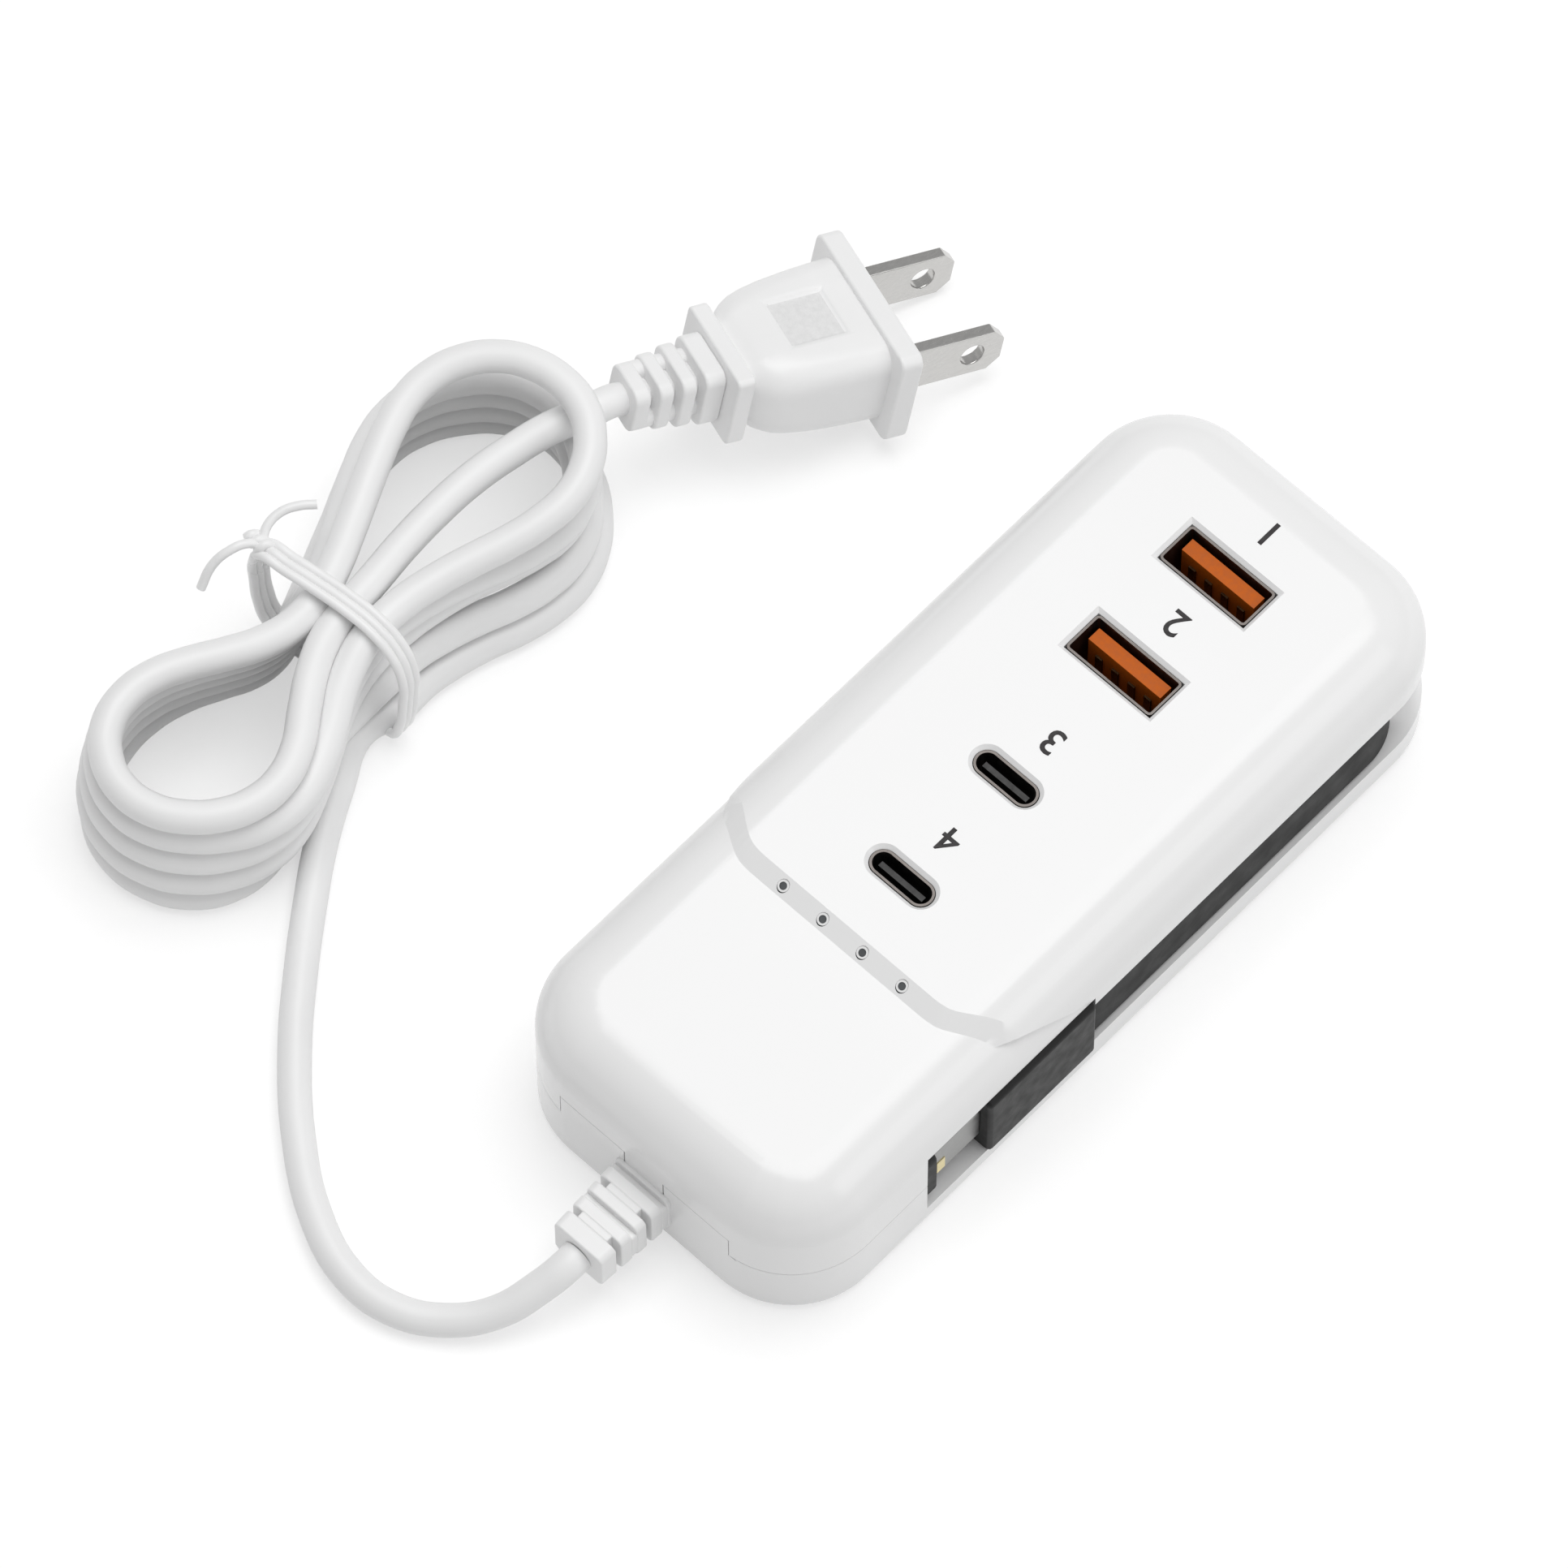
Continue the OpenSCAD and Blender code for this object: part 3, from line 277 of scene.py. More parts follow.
# Thin glossy vinyl over wire, a little whiter than the lead.
tie_vinyl, tree, shader, place = start_material("tie_vinyl", "#f6f6f6", 0.3)
vary(tree, shader, place, "#f6f6f6", 6, (0.965, 1.0), (0.26, 0.36))
dimple(tree, shader, place, 0.7, 0.02, 0.3)
tie_curve.materials.append(tie_vinyl)
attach(hank_tie, "root")
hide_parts("cord_tie")


# Plug: vinyl moulded over the blades and the end of the lead. Four ribs with slots between
# them let the lead bend, a guard plate and a flange keep the fingers off the blades, and the
# shouldered body between them has a square finely textured thumb rest on top.
def add_slab(bm, start, end, width, height, radius):
    """A plate across the length, from start to end in mm along Y, with round corners."""
    verts = bmesh.ops.create_cube(bm, size=1)["verts"]
    bmesh.ops.scale(bm, verts=verts, vec=(width * MM, (end - start) * MM, height * MM))
    bmesh.ops.translate(bm, verts=verts, vec=(0, (start + end) / 2 * MM, 0))
    corners = []
    for edge in {e for v in verts for e in v.link_edges}:
        run = edge.verts[0].co - edge.verts[1].co
        if abs(run.x) < 1e-9 and abs(run.z) < 1e-9:
            corners.append(edge)
    bmesh.ops.bevel(
        bm, geom=corners, offset=radius * MM, segments=5, profile=0.5, affect="EDGES", material=-1,
    )


def add_ring(bm, y, width, height, radius):
    """One section of the plug's body: a rectangle with round corners that stands across Y."""
    corners = bmesh.ops.create_grid(bm, x_segments=1, y_segments=1, size=0.5)["verts"]
    bmesh.ops.scale(bm, verts=corners, vec=(width * MM, height * MM, 1))
    made = bmesh.ops.bevel(
        bm, geom=corners, offset=radius * MM, segments=6, profile=0.5, affect="VERTICES", material=-1,
    )
    face = made["verts"][0].link_faces[0]
    outline = list(face.verts)
    bmesh.ops.rotate(bm, verts=outline, cent=(0, 0, 0), matrix=Matrix.Rotation(math.pi / 2, 3, "X"))
    bmesh.ops.translate(bm, verts=outline, vec=(0, y * MM, 0))
    return face


def whole(faces):
    """Some faces with their edges and corners, as a cut by a plane takes them."""
    return faces + list({e for f in faces for e in f.edges}) + list({v for f in faces for v in f.verts})


def finish_mesh(bm, name, bevel, segments=2, angle=32):
    """Close a bmesh into an object with smooth faces, crisp edges and a fine edge radius."""
    bmesh.ops.remove_doubles(bm, verts=bm.verts, dist=1e-7)
    for face in bm.faces:
        face.smooth = True
    for edge in bm.edges:
        edge.smooth = not edge.is_manifold or edge.calc_face_angle() < math.radians(angle)
    mesh = bpy.data.meshes.new(name)
    bm.to_mesh(mesh)
    bm.free()
    piece = bpy.data.objects.new(name, mesh)
    bpy.context.scene.collection.objects.link(piece)
    if bevel:
        edge_radius = piece.modifiers.new("edge_radius", "BEVEL")
        edge_radius.width = bevel * MM
        edge_radius.segments = segments
        edge_radius.limit_method = "ANGLE"
        edge_radius.angle_limit = math.radians(angle)
        edge_radius.harden_normals = False
    normals = piece.modifiers.new("flat_faces", "WEIGHTED_NORMAL")
    normals.keep_sharp = True
    return piece


bm = bmesh.new()
guard_at = 11.2
flange_at = 30.2
tip_width = 6.3
tip_growth = 2.4
slot_depth = 1.5
for start, end in ((0, 2), (3, 4.8), (5.8, 7.6), (8.6, guard_at)):
    size = tip_width + tip_growth * (start + 1) / guard_at
    add_slab(bm, start, end, size, size, 1.5)
for start, end in ((1.9, 3.1), (4.7, 5.9), (7.5, 8.7)):
    size = tip_width + tip_growth * start / guard_at - 2 * slot_depth
    add_slab(bm, start, end, size, size, 1.3)
add_slab(bm, guard_at, guard_at + 2.3, 13.4, 10.6, 0.8)
add_slab(bm, flange_at, flange_at + 2.8, 22.4, 13.7, 1.4)
# Spines at two opposite corners close the slots off.
spine_width = 2.4
spine_off = 1.9 * MM
for side in (-1, 1):
    before = set(bm.verts)
    add_slab(bm, 1, 10, spine_width, spine_width, 1)
    spine = [v for v in bm.verts if v not in before]
    bmesh.ops.translate(bm, verts=spine, vec=(side * spine_off, 0, -side * spine_off))
body_sections = [  # place along the plug, width, height, corner
    (13, 10.4, 8.4, 2.4), (13.8, 11, 9, 2.8), (14.5, 12.4, 9.8, 3.2), (15.2, 14, 10.6, 3.6),
    (16, 15.3, 11.1, 3.9), (17, 16.3, 11.5, 4), (18.5, 17, 11.8, 3.9), (21, 17.6, 12, 3.6),
    (25, 18, 12.1, 3.2), (30.5, 18.2, 12.1, 2.8),
]
rings = [add_ring(bm, *section) for section in body_sections]
for near, far in zip(rings, rings[1:]):
    bmesh.ops.bridge_loops(bm, edges=list(near.edges) + list(far.edges))
bmesh.ops.delete(bm, geom=rings[1:-1], context="FACES_ONLY")
thumb_x, thumb_near, thumb_far, thumb_floor = 3.9, 19.2, 27.2, 5.6
for plane, normal in (
    ((-thumb_x, 0, 0), (1, 0, 0)), ((thumb_x, 0, 0), (1, 0, 0)),
    ((0, thumb_near, 0), (0, 1, 0)), ((0, thumb_far, 0), (0, 1, 0)),
):
    top = []
    for face in bm.faces:
        middle = face.calc_center_median() / MM
        if abs(face.normal.z) > 0.8 and middle.z > 4 and 14 < middle.y < 30.1:
            top.append(face)
    cut_at = Vector(plane) * MM
    bmesh.ops.bisect_plane(bm, geom=whole(top), dist=1e-7, plane_co=cut_at, plane_no=normal)
rest = []
for face in bm.faces:
    middle = face.calc_center_median() / MM
    if abs(middle.x) < thumb_x and thumb_near < middle.y < thumb_far and middle.z > 5:
        rest.append(face)
bmesh.ops.inset_region(bm, faces=rest, thickness=0.5 * MM, depth=0, use_even_offset=True)
for vert in {v for f in rest for v in f.verts}:
    vert.co.z = thumb_floor * MM
for face in rest:
    face.material_index = 1
bmesh.ops.recalc_face_normals(bm, faces=bm.faces)
bmesh.ops.transform(bm, matrix=plug_frame, verts=bm.verts)
plug_moulding = finish_mesh(bm, "plug_moulding", 0.28, 3)
# Moulded PVC: brighter and tighter than the lead, with a soft wide highlight on its shoulders.
plug_vinyl, tree, shader, place = start_material("plug_moulded_pvc", "#f5f5f5", 0.34)
vary(tree, shader, place, "#f5f5f5", 9, (0.975, 1.0), (0.3, 0.4))
dimple(tree, shader, place, 0.9, 0.02, 0.3)
plug_moulding.data.materials.append(plug_vinyl)
# Spark-eroded patch of the mould: 0.3 mm grit, dull, and greyer with painted shade, for the shade its
# grit casts on itself.
thumb_vinyl_painted_shade, tree, shader, place = start_material("plug_textured_pvc_painted_shade", "#e9e9e9", 0.62)
vary(tree, shader, place, "#e9e9e9", 0.8, (0.93, 1.0), (0.55, 0.7))
dimple(tree, shader, place, 0.35, 0.09, 0.9)
plug_moulding.data.materials.append(thumb_vinyl_painted_shade)
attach(plug_moulding, "root")
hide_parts("plug_body")


# Blades: brass strip, punched, bevelled at the nose, with a round hole, then nickel plated.
# They are moulded into the plug, so only their length beyond the flange shows.
def merged_copy(*names):
    """The joined triangles of some CAD nodes, with coplanar ones dissolved into whole faces."""
    bm = bmesh.new()
    for name in names:
        bm.from_mesh(nodes[name].data)
    bmesh.ops.remove_doubles(bm, verts=bm.verts, dist=2e-6)
    bmesh.ops.dissolve_limit(bm, angle_limit=math.radians(0.6), verts=bm.verts, edges=bm.edges)
    return bm


both_blades = merged_copy("plug_blade_left", "plug_blade_right")
plug_blades = finish_mesh(both_blades, "plug_blades", 0.25, 3, 40)
# Bright nickel over brass: a light grey mirror, streaked along the strip by rolling and by
# the wall contacts. The streaks are drawn at 0.3 mm, coarser than real ones, to show at all.
blade_nickel, tree, shader, place = start_material(
    "blade_nickel_plated_brass", "#c9c8c6", 0.24, Metallic=1,
)
turned = add_node(tree, "ShaderNodeMapping", {
    "Vector": place, "Rotation": (-plug_pitch, 0, -plug_yaw), "Scale": (1, 0.06, 1),
})
streaks = vary(tree, shader, turned.outputs[0], "#c9c8c6", 0.3, (0.95, 1.03), (0.2, 0.28))
relief = add_node(tree, "ShaderNodeBump", {
    "Height": streaks.outputs["Fac"], "Distance": 0.004 * MM, "Strength": 0.15,
})
tree.links.new(relief.outputs["Normal"], shader.inputs["Normal"])
plug_blades.data.materials.append(blade_nickel)
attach(plug_blades, "root")
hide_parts("plug_blade_left", "plug_blade_right")


# Strain relief of the strip: moulded over the lead, with grooves across its top and bottom
# and notches in its sides by turns, so that it bends both ways. Its neck and flange are
# trapped in the wall of the near end.
relief_wall = -56
relief_z = 7.6
relief_length = 10.8
relief_stack = [  # start and end from the wall, width, height, corner
    (-0.1, 0.55, 8.4, 7.2, 1), (0.45, 1.45, 8.4, 5, 0.4), (1.35, 2.95, 8.4, 7.2, 1),
    (2.85, 3.85, 5, 7.2, 0.2), (3.75, 5.25, 8.4, 7.2, 1), (5.15, 6.15, 8.4, 5, 0.4),
    (6.05, 7.65, 8.4, 7.2, 1), (7.55, 8.55, 5, 7.2, 0.2), (8.45, relief_length, 8.4, 7.2, 1),
]
bm = bmesh.new()
for start, end, width, height, corner in relief_stack:
    add_slab(bm, -end, -start, width, height, corner)
for vert in bm.verts:
    taper = 1 + 0.12 * min(0, vert.co.y / (relief_length * MM))
    vert.co.x *= taper
    vert.co.z *= taper
# The neck in the wall, the flange behind it, and a collar on the lead inside.
add_slab(bm, 0, 2.1, 6, 5.6, 0.4)
add_slab(bm, 2, 3.6, 9.6, 7.6, 0.4)
add_slab(bm, 3.5, 6.6, 4.8, 4.8, 1.6)
bmesh.ops.translate(bm, verts=bm.verts, vec=(0, relief_wall * MM, relief_z * MM))
cord_relief = finish_mesh(bm, "cord_relief", 0.22, 3)
# The same soft PVC as the lead, moulded instead of extruded, so a little glossier.
relief_vinyl, tree, shader, place = start_material("relief_moulded_pvc", "#f3f3f3", 0.36)
vary(tree, shader, place, "#f3f3f3", 5, (0.97, 1.0), (0.32, 0.42))
dimple(tree, shader, place, 0.8, 0.02, 0.3)
cord_relief.data.materials.append(relief_vinyl)
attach(cord_relief, "root")
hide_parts("strain_relief")


# Housing: two shells of white ABS, injection moulded in a polished tool, that meet in a fine
# V groove at 9.6 mm and are held by four screws from below. Port numbers are printed beside
# the ports, to be read from the far end.
parting = 9.6 * MM
deck_edge = -22.3
side_low, side_high = 16.6, 21.9
side_start, side_run = -24.64, 17
corner_start, corner_depth, corner_width, corner_cuts = 15, 6, 7, 8


def side_edge(z):
    """Where the deck's edge, as it runs out along the side, lies at one height, in mm."""
    return side_start + side_run * (side_high - z) / (side_high - side_low)


def on_outer_wall(vert):
    """Whether a point at the joint lies on the housing's outside, round corners included."""
    x, y = abs(vert.co.x) / MM, abs(vert.co.y) / MM
    return x > 21 or y > 53 or x + y > 68


def looks_out(face):
    """Whether an upright face looks away from the middle of the housing."""
    middle = face.calc_center_median()
    return abs(face.normal.z) < 0.5 and face.normal.x * middle.x + face.normal.y * middle.y > 0


def is_band(face):
    """Whether a face belongs to the slope in front of the deck."""
    middle = face.calc_center_median() / MM
    return face.normal.y < -0.2 and face.normal.z > 0.1 and -26 < middle.y < -20 and middle.z > 21


def add_shell(name, node):
    """A shell from its CAD node, with a soft deck edge and a fine bevel at the joint."""
    bm = merged_copy(node)
    # In the CAD node the deck's edge ends upright on the side, in two steps 9 mm apart. Here it
    # runs out along the side, down to the dock.
    for vert in bm.verts:
        x, y, z = vert.co / MM
        low_part = abs(y - deck_edge) < 0.05 and 16.5 < z < 20.95
        high_part = abs(y - deck_edge - 9) < 0.05 and 20.85 < z < 21.95
        if abs(x) > 20.5 and (low_part or high_part):
            vert.co.y = side_edge(z) * MM
    bmesh.ops.remove_doubles(bm, verts=bm.verts, dist=2e-6)
    bmesh.ops.dissolve_degenerate(bm, edges=bm.edges, dist=1e-6)
    # Seen from above, the edge also turns towards the far end as it nears either side.
    for side in (-1, 1):
        for x in range(corner_start, corner_start + corner_cuts):
            band = [f for f in bm.faces if is_band(f)]
            cut_at = (side * x * MM, 0, 0)
            bmesh.ops.bisect_plane(bm, geom=whole(band), dist=1e-7, plane_co=cut_at, plane_no=(1, 0, 0))
    for vert in bm.verts:
        x, y, z = vert.co / MM
        on_top = -26 < y < -20.9 and z > 20.8 and abs(x) > corner_start
        on_side = side_low < z <= side_high and abs(x) > 21 and abs(y - side_edge(z)) < 0.05
        if on_top or on_side:
            fade = min(1, (z - side_low) / (side_high - side_low))
            vert.co.y += corner_depth * fade * ((abs(x) - corner_start) / corner_width) ** 2 * MM
    # The outer edge at the joint, which makes one half of the V groove.
    rim = []
    for edge in bm.edges:
        if edge.is_manifold and edge.calc_face_angle() > math.radians(60):
            level = all(abs(v.co.z - parting) < 1e-6 for v in edge.verts)
            beside_relief = max(abs(v.co.x) for v in edge.verts) > 9.4 * MM
            outside = all(on_outer_wall(v) for v in edge.verts)
            if level and beside_relief and outside and any(looks_out(f) for f in edge.link_faces):
                rim.append(edge)
    bmesh.ops.bevel(
        bm, geom=rim, offset=0.16 * MM, segments=2, profile=0.5, affect="EDGES", material=-1,
    )
    # The deck's slope meets both levels in a soft round.
    step = []
    for edge in bm.edges:
        if edge.is_manifold and 0.35 < edge.calc_face_angle() < 0.7:
            upper = all(f.normal.z > 0.7 for f in edge.link_faces)
            if upper and all(v.co.z > 22.3 * MM and v.co.y < 0 for v in edge.verts):
                step.append(edge)
    bmesh.ops.bevel(
        bm, geom=step, offset=0.55 * MM, segments=3, profile=0.5, affect="EDGES", material=-1,
        clamp_overlap=True,
    )
    return finish_mesh(bm, name, 0, 0, 25)


top_shell = add_shell("top_shell", "top_housing")
base_shell = add_shell("base_shell", "bottom_housing")
# Polished ABS: a clean white with a tight, slightly wavy reflection, as any large moulded
# face has. The waves are 9 mm long and far too shallow to see as shape.
housing_abs, tree, shader, place = start_material("housing_polished_abs", "#f3f3f3", 0.2)
vary(tree, shader, place, "#f3f3f3", 30, (0.985, 1.0), (0.17, 0.25))
dimple(tree, shader, place, 9, 0.03, 0.25)
for shell, node in ((top_shell, "top_housing"), (base_shell, "bottom_housing")):
    shell.data.materials.append(housing_abs)
    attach(shell, "root")
    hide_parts(node)

deck_z = 25.2
number_x = 0.8
number_height = 3.4
capital_share = 0.7
numbers = bmesh.new()
for label, middle in (("1", 47), ("2", 31.2), ("3", 10.6), ("4", -6.6)):
    text = bpy.data.curves.new("number", "FONT")
    text.body = label
    text.size = number_height * MM / capital_share
    text.extrude = 0.01 * MM
    text.bevel_depth = 0.05 * MM
    text.bevel_resolution = 0
    text.align_x = text.align_y = "CENTER"
    text.resolution_u = 4
    plate = bpy.data.objects.new("number", text)
    bpy.context.scene.collection.objects.link(plate)
    figure = bpy.data.meshes.new_from_object(plate)
    on_deck = Matrix.Translation(Vector((number_x, middle, deck_z)) * MM)
    figure.transform(on_deck @ Matrix.Rotation(math.pi, 4, "Z"))
    numbers.from_mesh(figure)
    bpy.data.objects.remove(plate)
    bpy.data.curves.remove(text)
    bpy.data.meshes.remove(figure)
port_numbers = finish_mesh(numbers, "port_numbers", 0)
# Pad-printed ink: nearly black, dull, a little thin where the pad lifted.
print_ink, tree, shader, place = start_material("pad_printed_ink", "#1b1618", 0.5)
vary(tree, shader, place, "#1b1618", 0.6, (0.85, 1.3), (0.42, 0.6))
dimple(tree, shader, place, 0.3, 0.01, 0.4)
port_numbers.data.materials.append(print_ink)
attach(port_numbers, "root")


# Ports: two wide connectors of nickel-plated folded steel round an orange tongue, and two
# small oval ones of drawn steel round a thin black tongue. Both stand on the board and reach
# up into the openings of the deck.

# Tin-nickel plating that lines a deep narrow well: its grey is darkened with painted shade, for the
# darkness of the well.
shell_steel_painted_shade, tree, shader, place = start_material(
    "shell_nickel_steel_painted_shade", "#6d6865", 0.34, Metallic=1,
)
vary(tree, shader, place, "#6d6865", 1.2, (0.85, 1.1), (0.28, 0.45))
dimple(tree, shader, place, 0.25, 0.01, 0.3)
# Glass-filled nylon, tinted orange: strong colour, dull, with short pale fibre marks.
tongue_orange, tree, shader, place = start_material(
    "tongue_orange_nylon", "#c65f08", 0.5, Specular_IOR_Level=0.25,
)
vary(tree, shader, place, "#c65f08", 0.7, (0.9, 1.06), (0.44, 0.58))
dimple(tree, shader, place, 0.3, 0.02, 0.4)
# Black liquid-crystal polymer, moulded: deep black, satin, slightly flow-marked.
tongue_black, tree, shader, place = start_material("tongue_black_polymer", "#141312", 0.4)
vary(tree, shader, place, "#141312", 0.8, (0.8, 1.3), (0.34, 0.5))
dimple(tree, shader, place, 0.25, 0.02, 0.3)
# Contacts: phosphor bronze, gold flashed, wiped bright along the stroke.
contact_gold, tree, shader, place = start_material(
    "contact_gold_flashed_bronze", "#e4d6a4", 0.34, Metallic=1,
)
vary(tree, shader, place, "#e4d6a4", 0.4, (0.9, 1.06), (0.28, 0.44))
dimple(tree, shader, place, 0.2, 0.01, 0.3)
# Those of the wide ports are bare bronze, dull and brown from storage.
contact_bronze, tree, shader, place = start_material(
    "contact_bare_bronze", "#54402c", 0.4, Metallic=1,
)
vary(tree, shader, place, "#54402c", 0.4, (0.8, 1.15), (0.34, 0.5))
dimple(tree, shader, place, 0.2, 0.01, 0.3)


def dress(material, *names):
    """Give CAD nodes a material of their own."""
    for name in names:
        nodes[name].data.materials.clear()
        nodes[name].data.materials.append(material)


dress(shell_steel_painted_shade, "usb_a_shell_far", "usb_a_shell_near", "usb_c_shell_far", "usb_c_shell_near")
dress(tongue_orange, "usb_a_tongue_far", "usb_a_tongue_near")
dress(tongue_black, "usb_c_tongue_far", "usb_c_tongue_near")
dress(contact_bronze, "usb_a_contacts_far", "usb_a_contacts_near")
dress(contact_gold, "dock_contact")


# Status lights: one clear moulding with four guides, pressed up into the band in front of the
# deck, and a small eye over the end of each guide, with a ring of the housing's white round it.
# Frosted polycarbonate: its grey is painted shade, for the dark inside seen through it.
light_pc_painted_shade, tree, shader, place = start_material(
    "light_guide_pc_painted_shade", "#55585a", 0.35, Coat_Weight=0.3,
)
vary(tree, shader, place, "#55585a", 1.1, (0.85, 1.15), (0.3, 0.45))
dimple(tree, shader, place, 0.3, 0.02, 0.4)
# The guides end flat in the CAD node. Here their ends follow the band, just below the eyes.
band_rise, band_run = 1.3, 2.2
light_pitch = 6.1
eye_y, eye_z, eye_thick = -23.4, 24.55, 0.45
eye_radius, eye_ring = 0.72, 0.24
eye_sink = 0.24 * MM
bm = merged_copy("light_pipe")
for vert in bm.verts:
    if vert.co.z > 24.4 * MM:
        vert.co.z = (eye_z - eye_thick) * MM + (vert.co.y - eye_y * MM) * band_rise / band_run
light_guides = finish_mesh(bm, "light_guides", 0)
light_guides.data.materials.append(light_pc_painted_shade)
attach(light_guides, "root")
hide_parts("light_pipe")
eyes = bmesh.new()
slope = math.atan2(band_rise, band_run)
for step in (-1.5, -0.5, 0.5, 1.5):
    made = bmesh.ops.create_cone(
        eyes, cap_ends=True, segments=32, depth=0.5 * MM,
        radius1=eye_radius * MM, radius2=eye_radius * MM,
    )
    eye = made["verts"]
    lid = max({f for v in eye for f in v.link_faces}, key=lambda f: f.calc_center_median().z)
    bmesh.ops.inset_region(eyes, faces=[lid], thickness=eye_ring * MM, depth=0)
    lid.material_index = 1
    bmesh.ops.inset_region(eyes, faces=[lid], thickness=0.05 * MM, depth=-0.12 * MM)
    eye = {v for v in eyes.verts if abs(v.co.x) < 0.8 * MM and abs(v.co.y) < 0.8 * MM}
    place_eye = Matrix.Translation(Vector((step * light_pitch, eye_y, eye_z)) * MM)
    place_eye = place_eye @ Matrix.Rotation(slope, 4, "X") @ Matrix.Translation((0, 0, -eye_sink))
    bmesh.ops.transform(eyes, matrix=place_eye, verts=list(eye))
light_eyes = finish_mesh(eyes, "light_eyes", 0)
light_eyes.data.materials.append(housing_abs)
# The eyes' lids take the same painted shade of the dark inside.
light_eyes.data.materials.append(light_pc_painted_shade)
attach(light_eyes, "root")


# Docked cable: a flat cable in dark thermoplastic rubber lies in a channel along the right
# side and turns in through the far corner. Its moulded grip and its flat metal tip lie in the
# deeper pocket at the near end.
flat_cable = finish_mesh(merged_copy("dock_cable"), "flat_cable", 0.6, 4, 40)
# In the photograph more of the tip shows: the grip ends sooner, and the tip stops sooner too.
grip_cut = 1.5 * MM
nose_cut = 0.9 * MM
bm = merged_copy("dock_grip")
for vert in bm.verts:
    if vert.co.y < -24 * MM:
        vert.co.y += grip_cut
cable_grip = finish_mesh(bm, "cable_grip", 0.5, 3, 40)
bm = merged_copy("dock_tip")
for vert in bm.verts:
    if vert.co.y < -33.2 * MM:
        vert.co.y += nose_cut
    elif vert.co.y > -28 * MM:
        vert.co.y += grip_cut
cable_tip = finish_mesh(bm, "cable_tip", 0.22, 3, 40)
# Thermoplastic rubber: charcoal, dull, with a fine leathery tooth that catches soft light.
dock_rubber, tree, shader, place = start_material(
    "cable_thermoplastic_rubber", "#1d1d1d", 0.6, Specular_IOR_Level=0.2,
)
vary(tree, shader, place, "#1d1d1d", 3, (0.92, 1.06), (0.5, 0.64))
dimple(tree, shader, place, 0.5, 0.03, 0.4)
# The grip is the same rubber from a finer tool: smoother, with a little more highlight.
grip_rubber, tree, shader, place = start_material(
    "grip_thermoplastic_rubber", "#1c1c1c", 0.5, Specular_IOR_Level=0.25,
)
vary(tree, shader, place, "#1c1c1c", 2, (0.93, 1.05), (0.42, 0.56))
dimple(tree, shader, place, 0.4, 0.02, 0.35)
# Satin nickel on stamped steel: mid grey with a soft highlight.
tip_steel, tree, shader, place = start_material("tip_satin_nickel", "#9a9a99", 0.36, Metallic=1)
vary(tree, shader, place, "#9a9a99", 0.8, (0.9, 1.06), (0.3, 0.45))
dimple(tree, shader, place, 0.2, 0.01, 0.3)
# A black block behind the tip fills the near end of the pocket: painted shade, a dark block where the
# pocket's end lies in shadow.
shade_near, shade_far = -34.38, -32.55
shade_x, shade_z = 21.4 * MM, 10.2 * MM
bm = bmesh.new()
add_slab(bm, shade_near, shade_far, 3.9, 9.6, 1.6)
bmesh.ops.translate(bm, verts=bm.verts, vec=(shade_x, 0, shade_z))
pocket_shade_block = finish_mesh(bm, "pocket_shade_block", 0.3, 3)
# Near black and dull: painted shade of the pocket's dark end.
pocket_shade_black, tree, shader, place = start_material("pocket_painted_shade_black", "#151515", 0.6)
vary(tree, shader, place, "#151515", 1.5, (0.8, 1.2), (0.55, 0.7))
dimple(tree, shader, place, 0.4, 0.02, 0.4)
pocket_shade_block.data.materials.append(pocket_shade_black)
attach(pocket_shade_block, "root")
for piece, material, slot, node in (
    (flat_cable, dock_rubber, "dark_rubber", "dock_cable"),
    (cable_grip, grip_rubber, "dark_rubber", "dock_grip"),
    (cable_tip, tip_steel, "tip_metal", "dock_tip"),
):
    piece.data.materials.append(material)
    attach(piece, "root")
    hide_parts(node)


# Inside: the board with its power supply, seen only through the openings. Each part keeps its
# plain form and gets the finish of its kind.
inner_finishes = [  # name, colour, roughness, grain, tone, gloss, relief grain, nodes
    ("board_green_solder_mask", "#1f5a34", 0.35, 6, (0.85, 1.1), (0.28, 0.45), 1.2, ["main_board"]),
    ("chip_moulding_compound", "#17171a", 0.5, 1.5, (0.85, 1.2), (0.42, 0.6), 0.3,
     ["bridge_rectifier", "power_switch", "control_chips", "transformer_base", "status_leds"]),
    ("core_fired_ferrite", "#3a3a3d", 0.6, 1, (0.85, 1.15), (0.5, 0.7), 0.4,
     ["transformer_core", "output_choke"]),
    ("winding_polyester_tape", "#c99a2c", 0.35, 2, (0.9, 1.05), (0.28, 0.45), 0.8,
     ["transformer_winding", "line_choke"]),
    ("can_printed_sleeve", "#24345e", 0.3, 2, (0.9, 1.1), (0.25, 0.4), 0.6,
     ["bulk_capacitors", "output_capacitors"]),
    ("capacitor_dipped_epoxy", "#2f5c9e", 0.25, 1.5, (0.9, 1.1), (0.2, 0.35), 0.7, ["safety_capacitor"]),
    ("fuse_brown_ceramic", "#6b4630", 0.45, 1.2, (0.9, 1.1), (0.38, 0.55), 0.4, ["fuse"]),
    ("wire_black_insulation", "#1d1d1d", 0.45, 2, (0.9, 1.15), (0.4, 0.55), 0.5, ["live_wire"]),
    ("wire_white_insulation", "#e6e6e3", 0.45, 2, (0.94, 1), (0.4, 0.55), 0.5, ["neutral_wire"]),
]
for name, code, roughness, grain, tone, gloss, tooth, names in inner_finishes:
    finish, tree, shader, place = start_material(name, code, roughness)
    vary(tree, shader, place, code, grain, tone, gloss)
    dimple(tree, shader, place, tooth, 0.02, 0.4)
    dress(finish, *names)
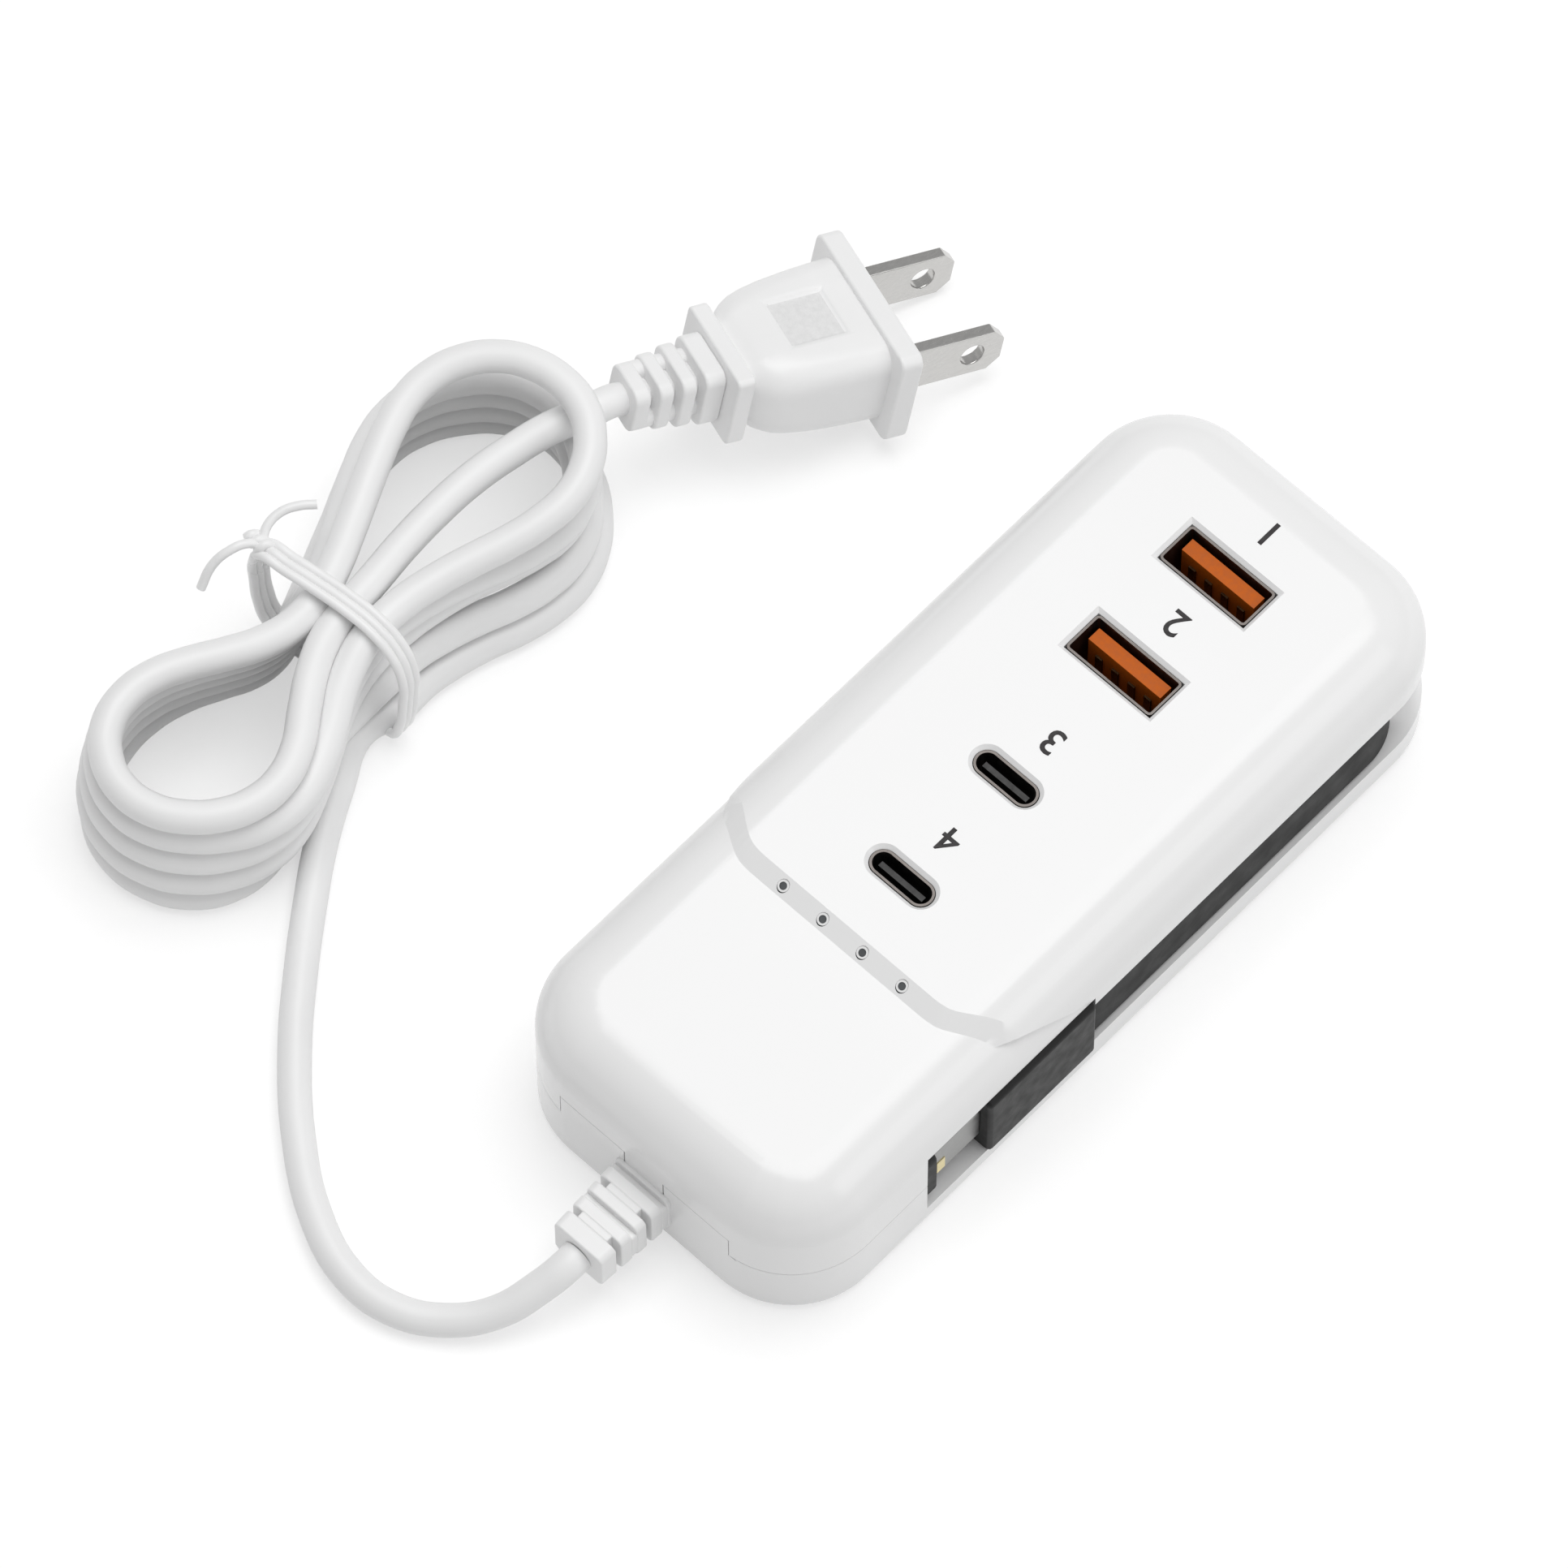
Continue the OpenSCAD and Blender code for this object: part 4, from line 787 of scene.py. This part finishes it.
# Mill-finish aluminium sheet and zinc-plated screws: one grey and grained, one bluish.
for name, code, grain, names in (
    ("sink_mill_aluminium", "#c9cbcc", 0.6, ["heat_sink"]),
    ("screw_zinc_plated_steel", "#b9bcc2", 0.5, ["housing_screws"]),
):
    finish, tree, shader, place = start_material(name, code, 0.35, Metallic=1)
    vary(tree, shader, place, code, grain, (0.88, 1.06), (0.3, 0.48))
    dimple(tree, shader, place, 0.25, 0.01, 0.3)
    dress(finish, *names)


# Studio: a matt white table without an edge in view, a white surround, one broad soft light
# from above and a weaker one from the right.
bm = bmesh.new()
bmesh.ops.create_grid(bm, x_segments=4, y_segments=4, size=3)
bmesh.ops.translate(bm, verts=bm.verts, vec=(0, 0, -0.02 * MM))
table_mesh = bpy.data.meshes.new("table")
bm.to_mesh(table_mesh)
bm.free()
table = bpy.data.objects.new("table", table_mesh)
bpy.context.scene.collection.objects.link(table)
# The table lights the object as white paper does. The camera, mirrors and clear plastic see
# it a shade brighter, so that it is white in the picture, and its shadow stays.
paper, tree, shader, place = start_material("table_white_paper", "#f0f0f0", 0.9)
path = add_node(tree, "ShaderNodeLightPath", {})
seen = add_node(tree, "ShaderNodeMath", {
    0: path.outputs["Is Camera Ray"], 1: path.outputs["Is Glossy Ray"],
}, operation="MAXIMUM")
seen = add_node(tree, "ShaderNodeMath", {
    0: seen.outputs[0], 1: path.outputs["Is Transmission Ray"],
}, operation="MAXIMUM")
glow = add_node(tree, "ShaderNodeEmission", {"Color": (1, 1, 1, 1), "Strength": 0.51})
matt = add_node(tree, "ShaderNodeBsdfDiffuse", {"Color": linear("#c8c8c8")})
bright = add_node(tree, "ShaderNodeAddShader", {0: glow.outputs[0], 1: matt.outputs[0]})
mixed = add_node(tree, "ShaderNodeMixShader", {
    0: seen.outputs[0], 1: shader.outputs[0], 2: bright.outputs[0],
})
tree.links.new(mixed.outputs[0], tree.nodes["Material Output"].inputs["Surface"])
table_mesh.materials.append(paper)

world = bpy.data.worlds.new("studio")
bpy.context.scene.world = world
world.use_nodes = True
tree = world.node_tree
tree.nodes["Background"].inputs["Color"].default_value = (1, 1, 1, 1)
tree.nodes["Background"].inputs["Strength"].default_value = 0.46
path = add_node(tree, "ShaderNodeLightPath", {})
white = add_node(tree, "ShaderNodeBackground", {"Color": (1, 1, 1, 1), "Strength": 1})
mixed = add_node(tree, "ShaderNodeMixShader", {
    0: path.outputs["Is Camera Ray"], 1: tree.nodes["Background"].outputs[0], 2: white.outputs[0],
})
tree.links.new(mixed.outputs[0], tree.nodes["World Output"].inputs["Surface"])


def add_light(name, place, size, power):
    """A square soft light that faces the middle of the object."""
    lamp = bpy.data.lights.new(name, "AREA")
    lamp.size = size
    lamp.energy = power
    light = bpy.data.objects.new(name, lamp)
    bpy.context.scene.collection.objects.link(light)
    aim = (-Vector(place)).to_track_quat("-Z", "Y").to_matrix().to_4x4()
    light.matrix_world = Matrix.Translation(place) @ aim


add_light("overhead", (-0.05, 0.2, 1.1), 0.8, 6.2)
add_light("right_fill", (0.9, 0.35, 0.6), 0.6, 1.4)
bpy.context.scene.view_settings.view_transform = "Standard"
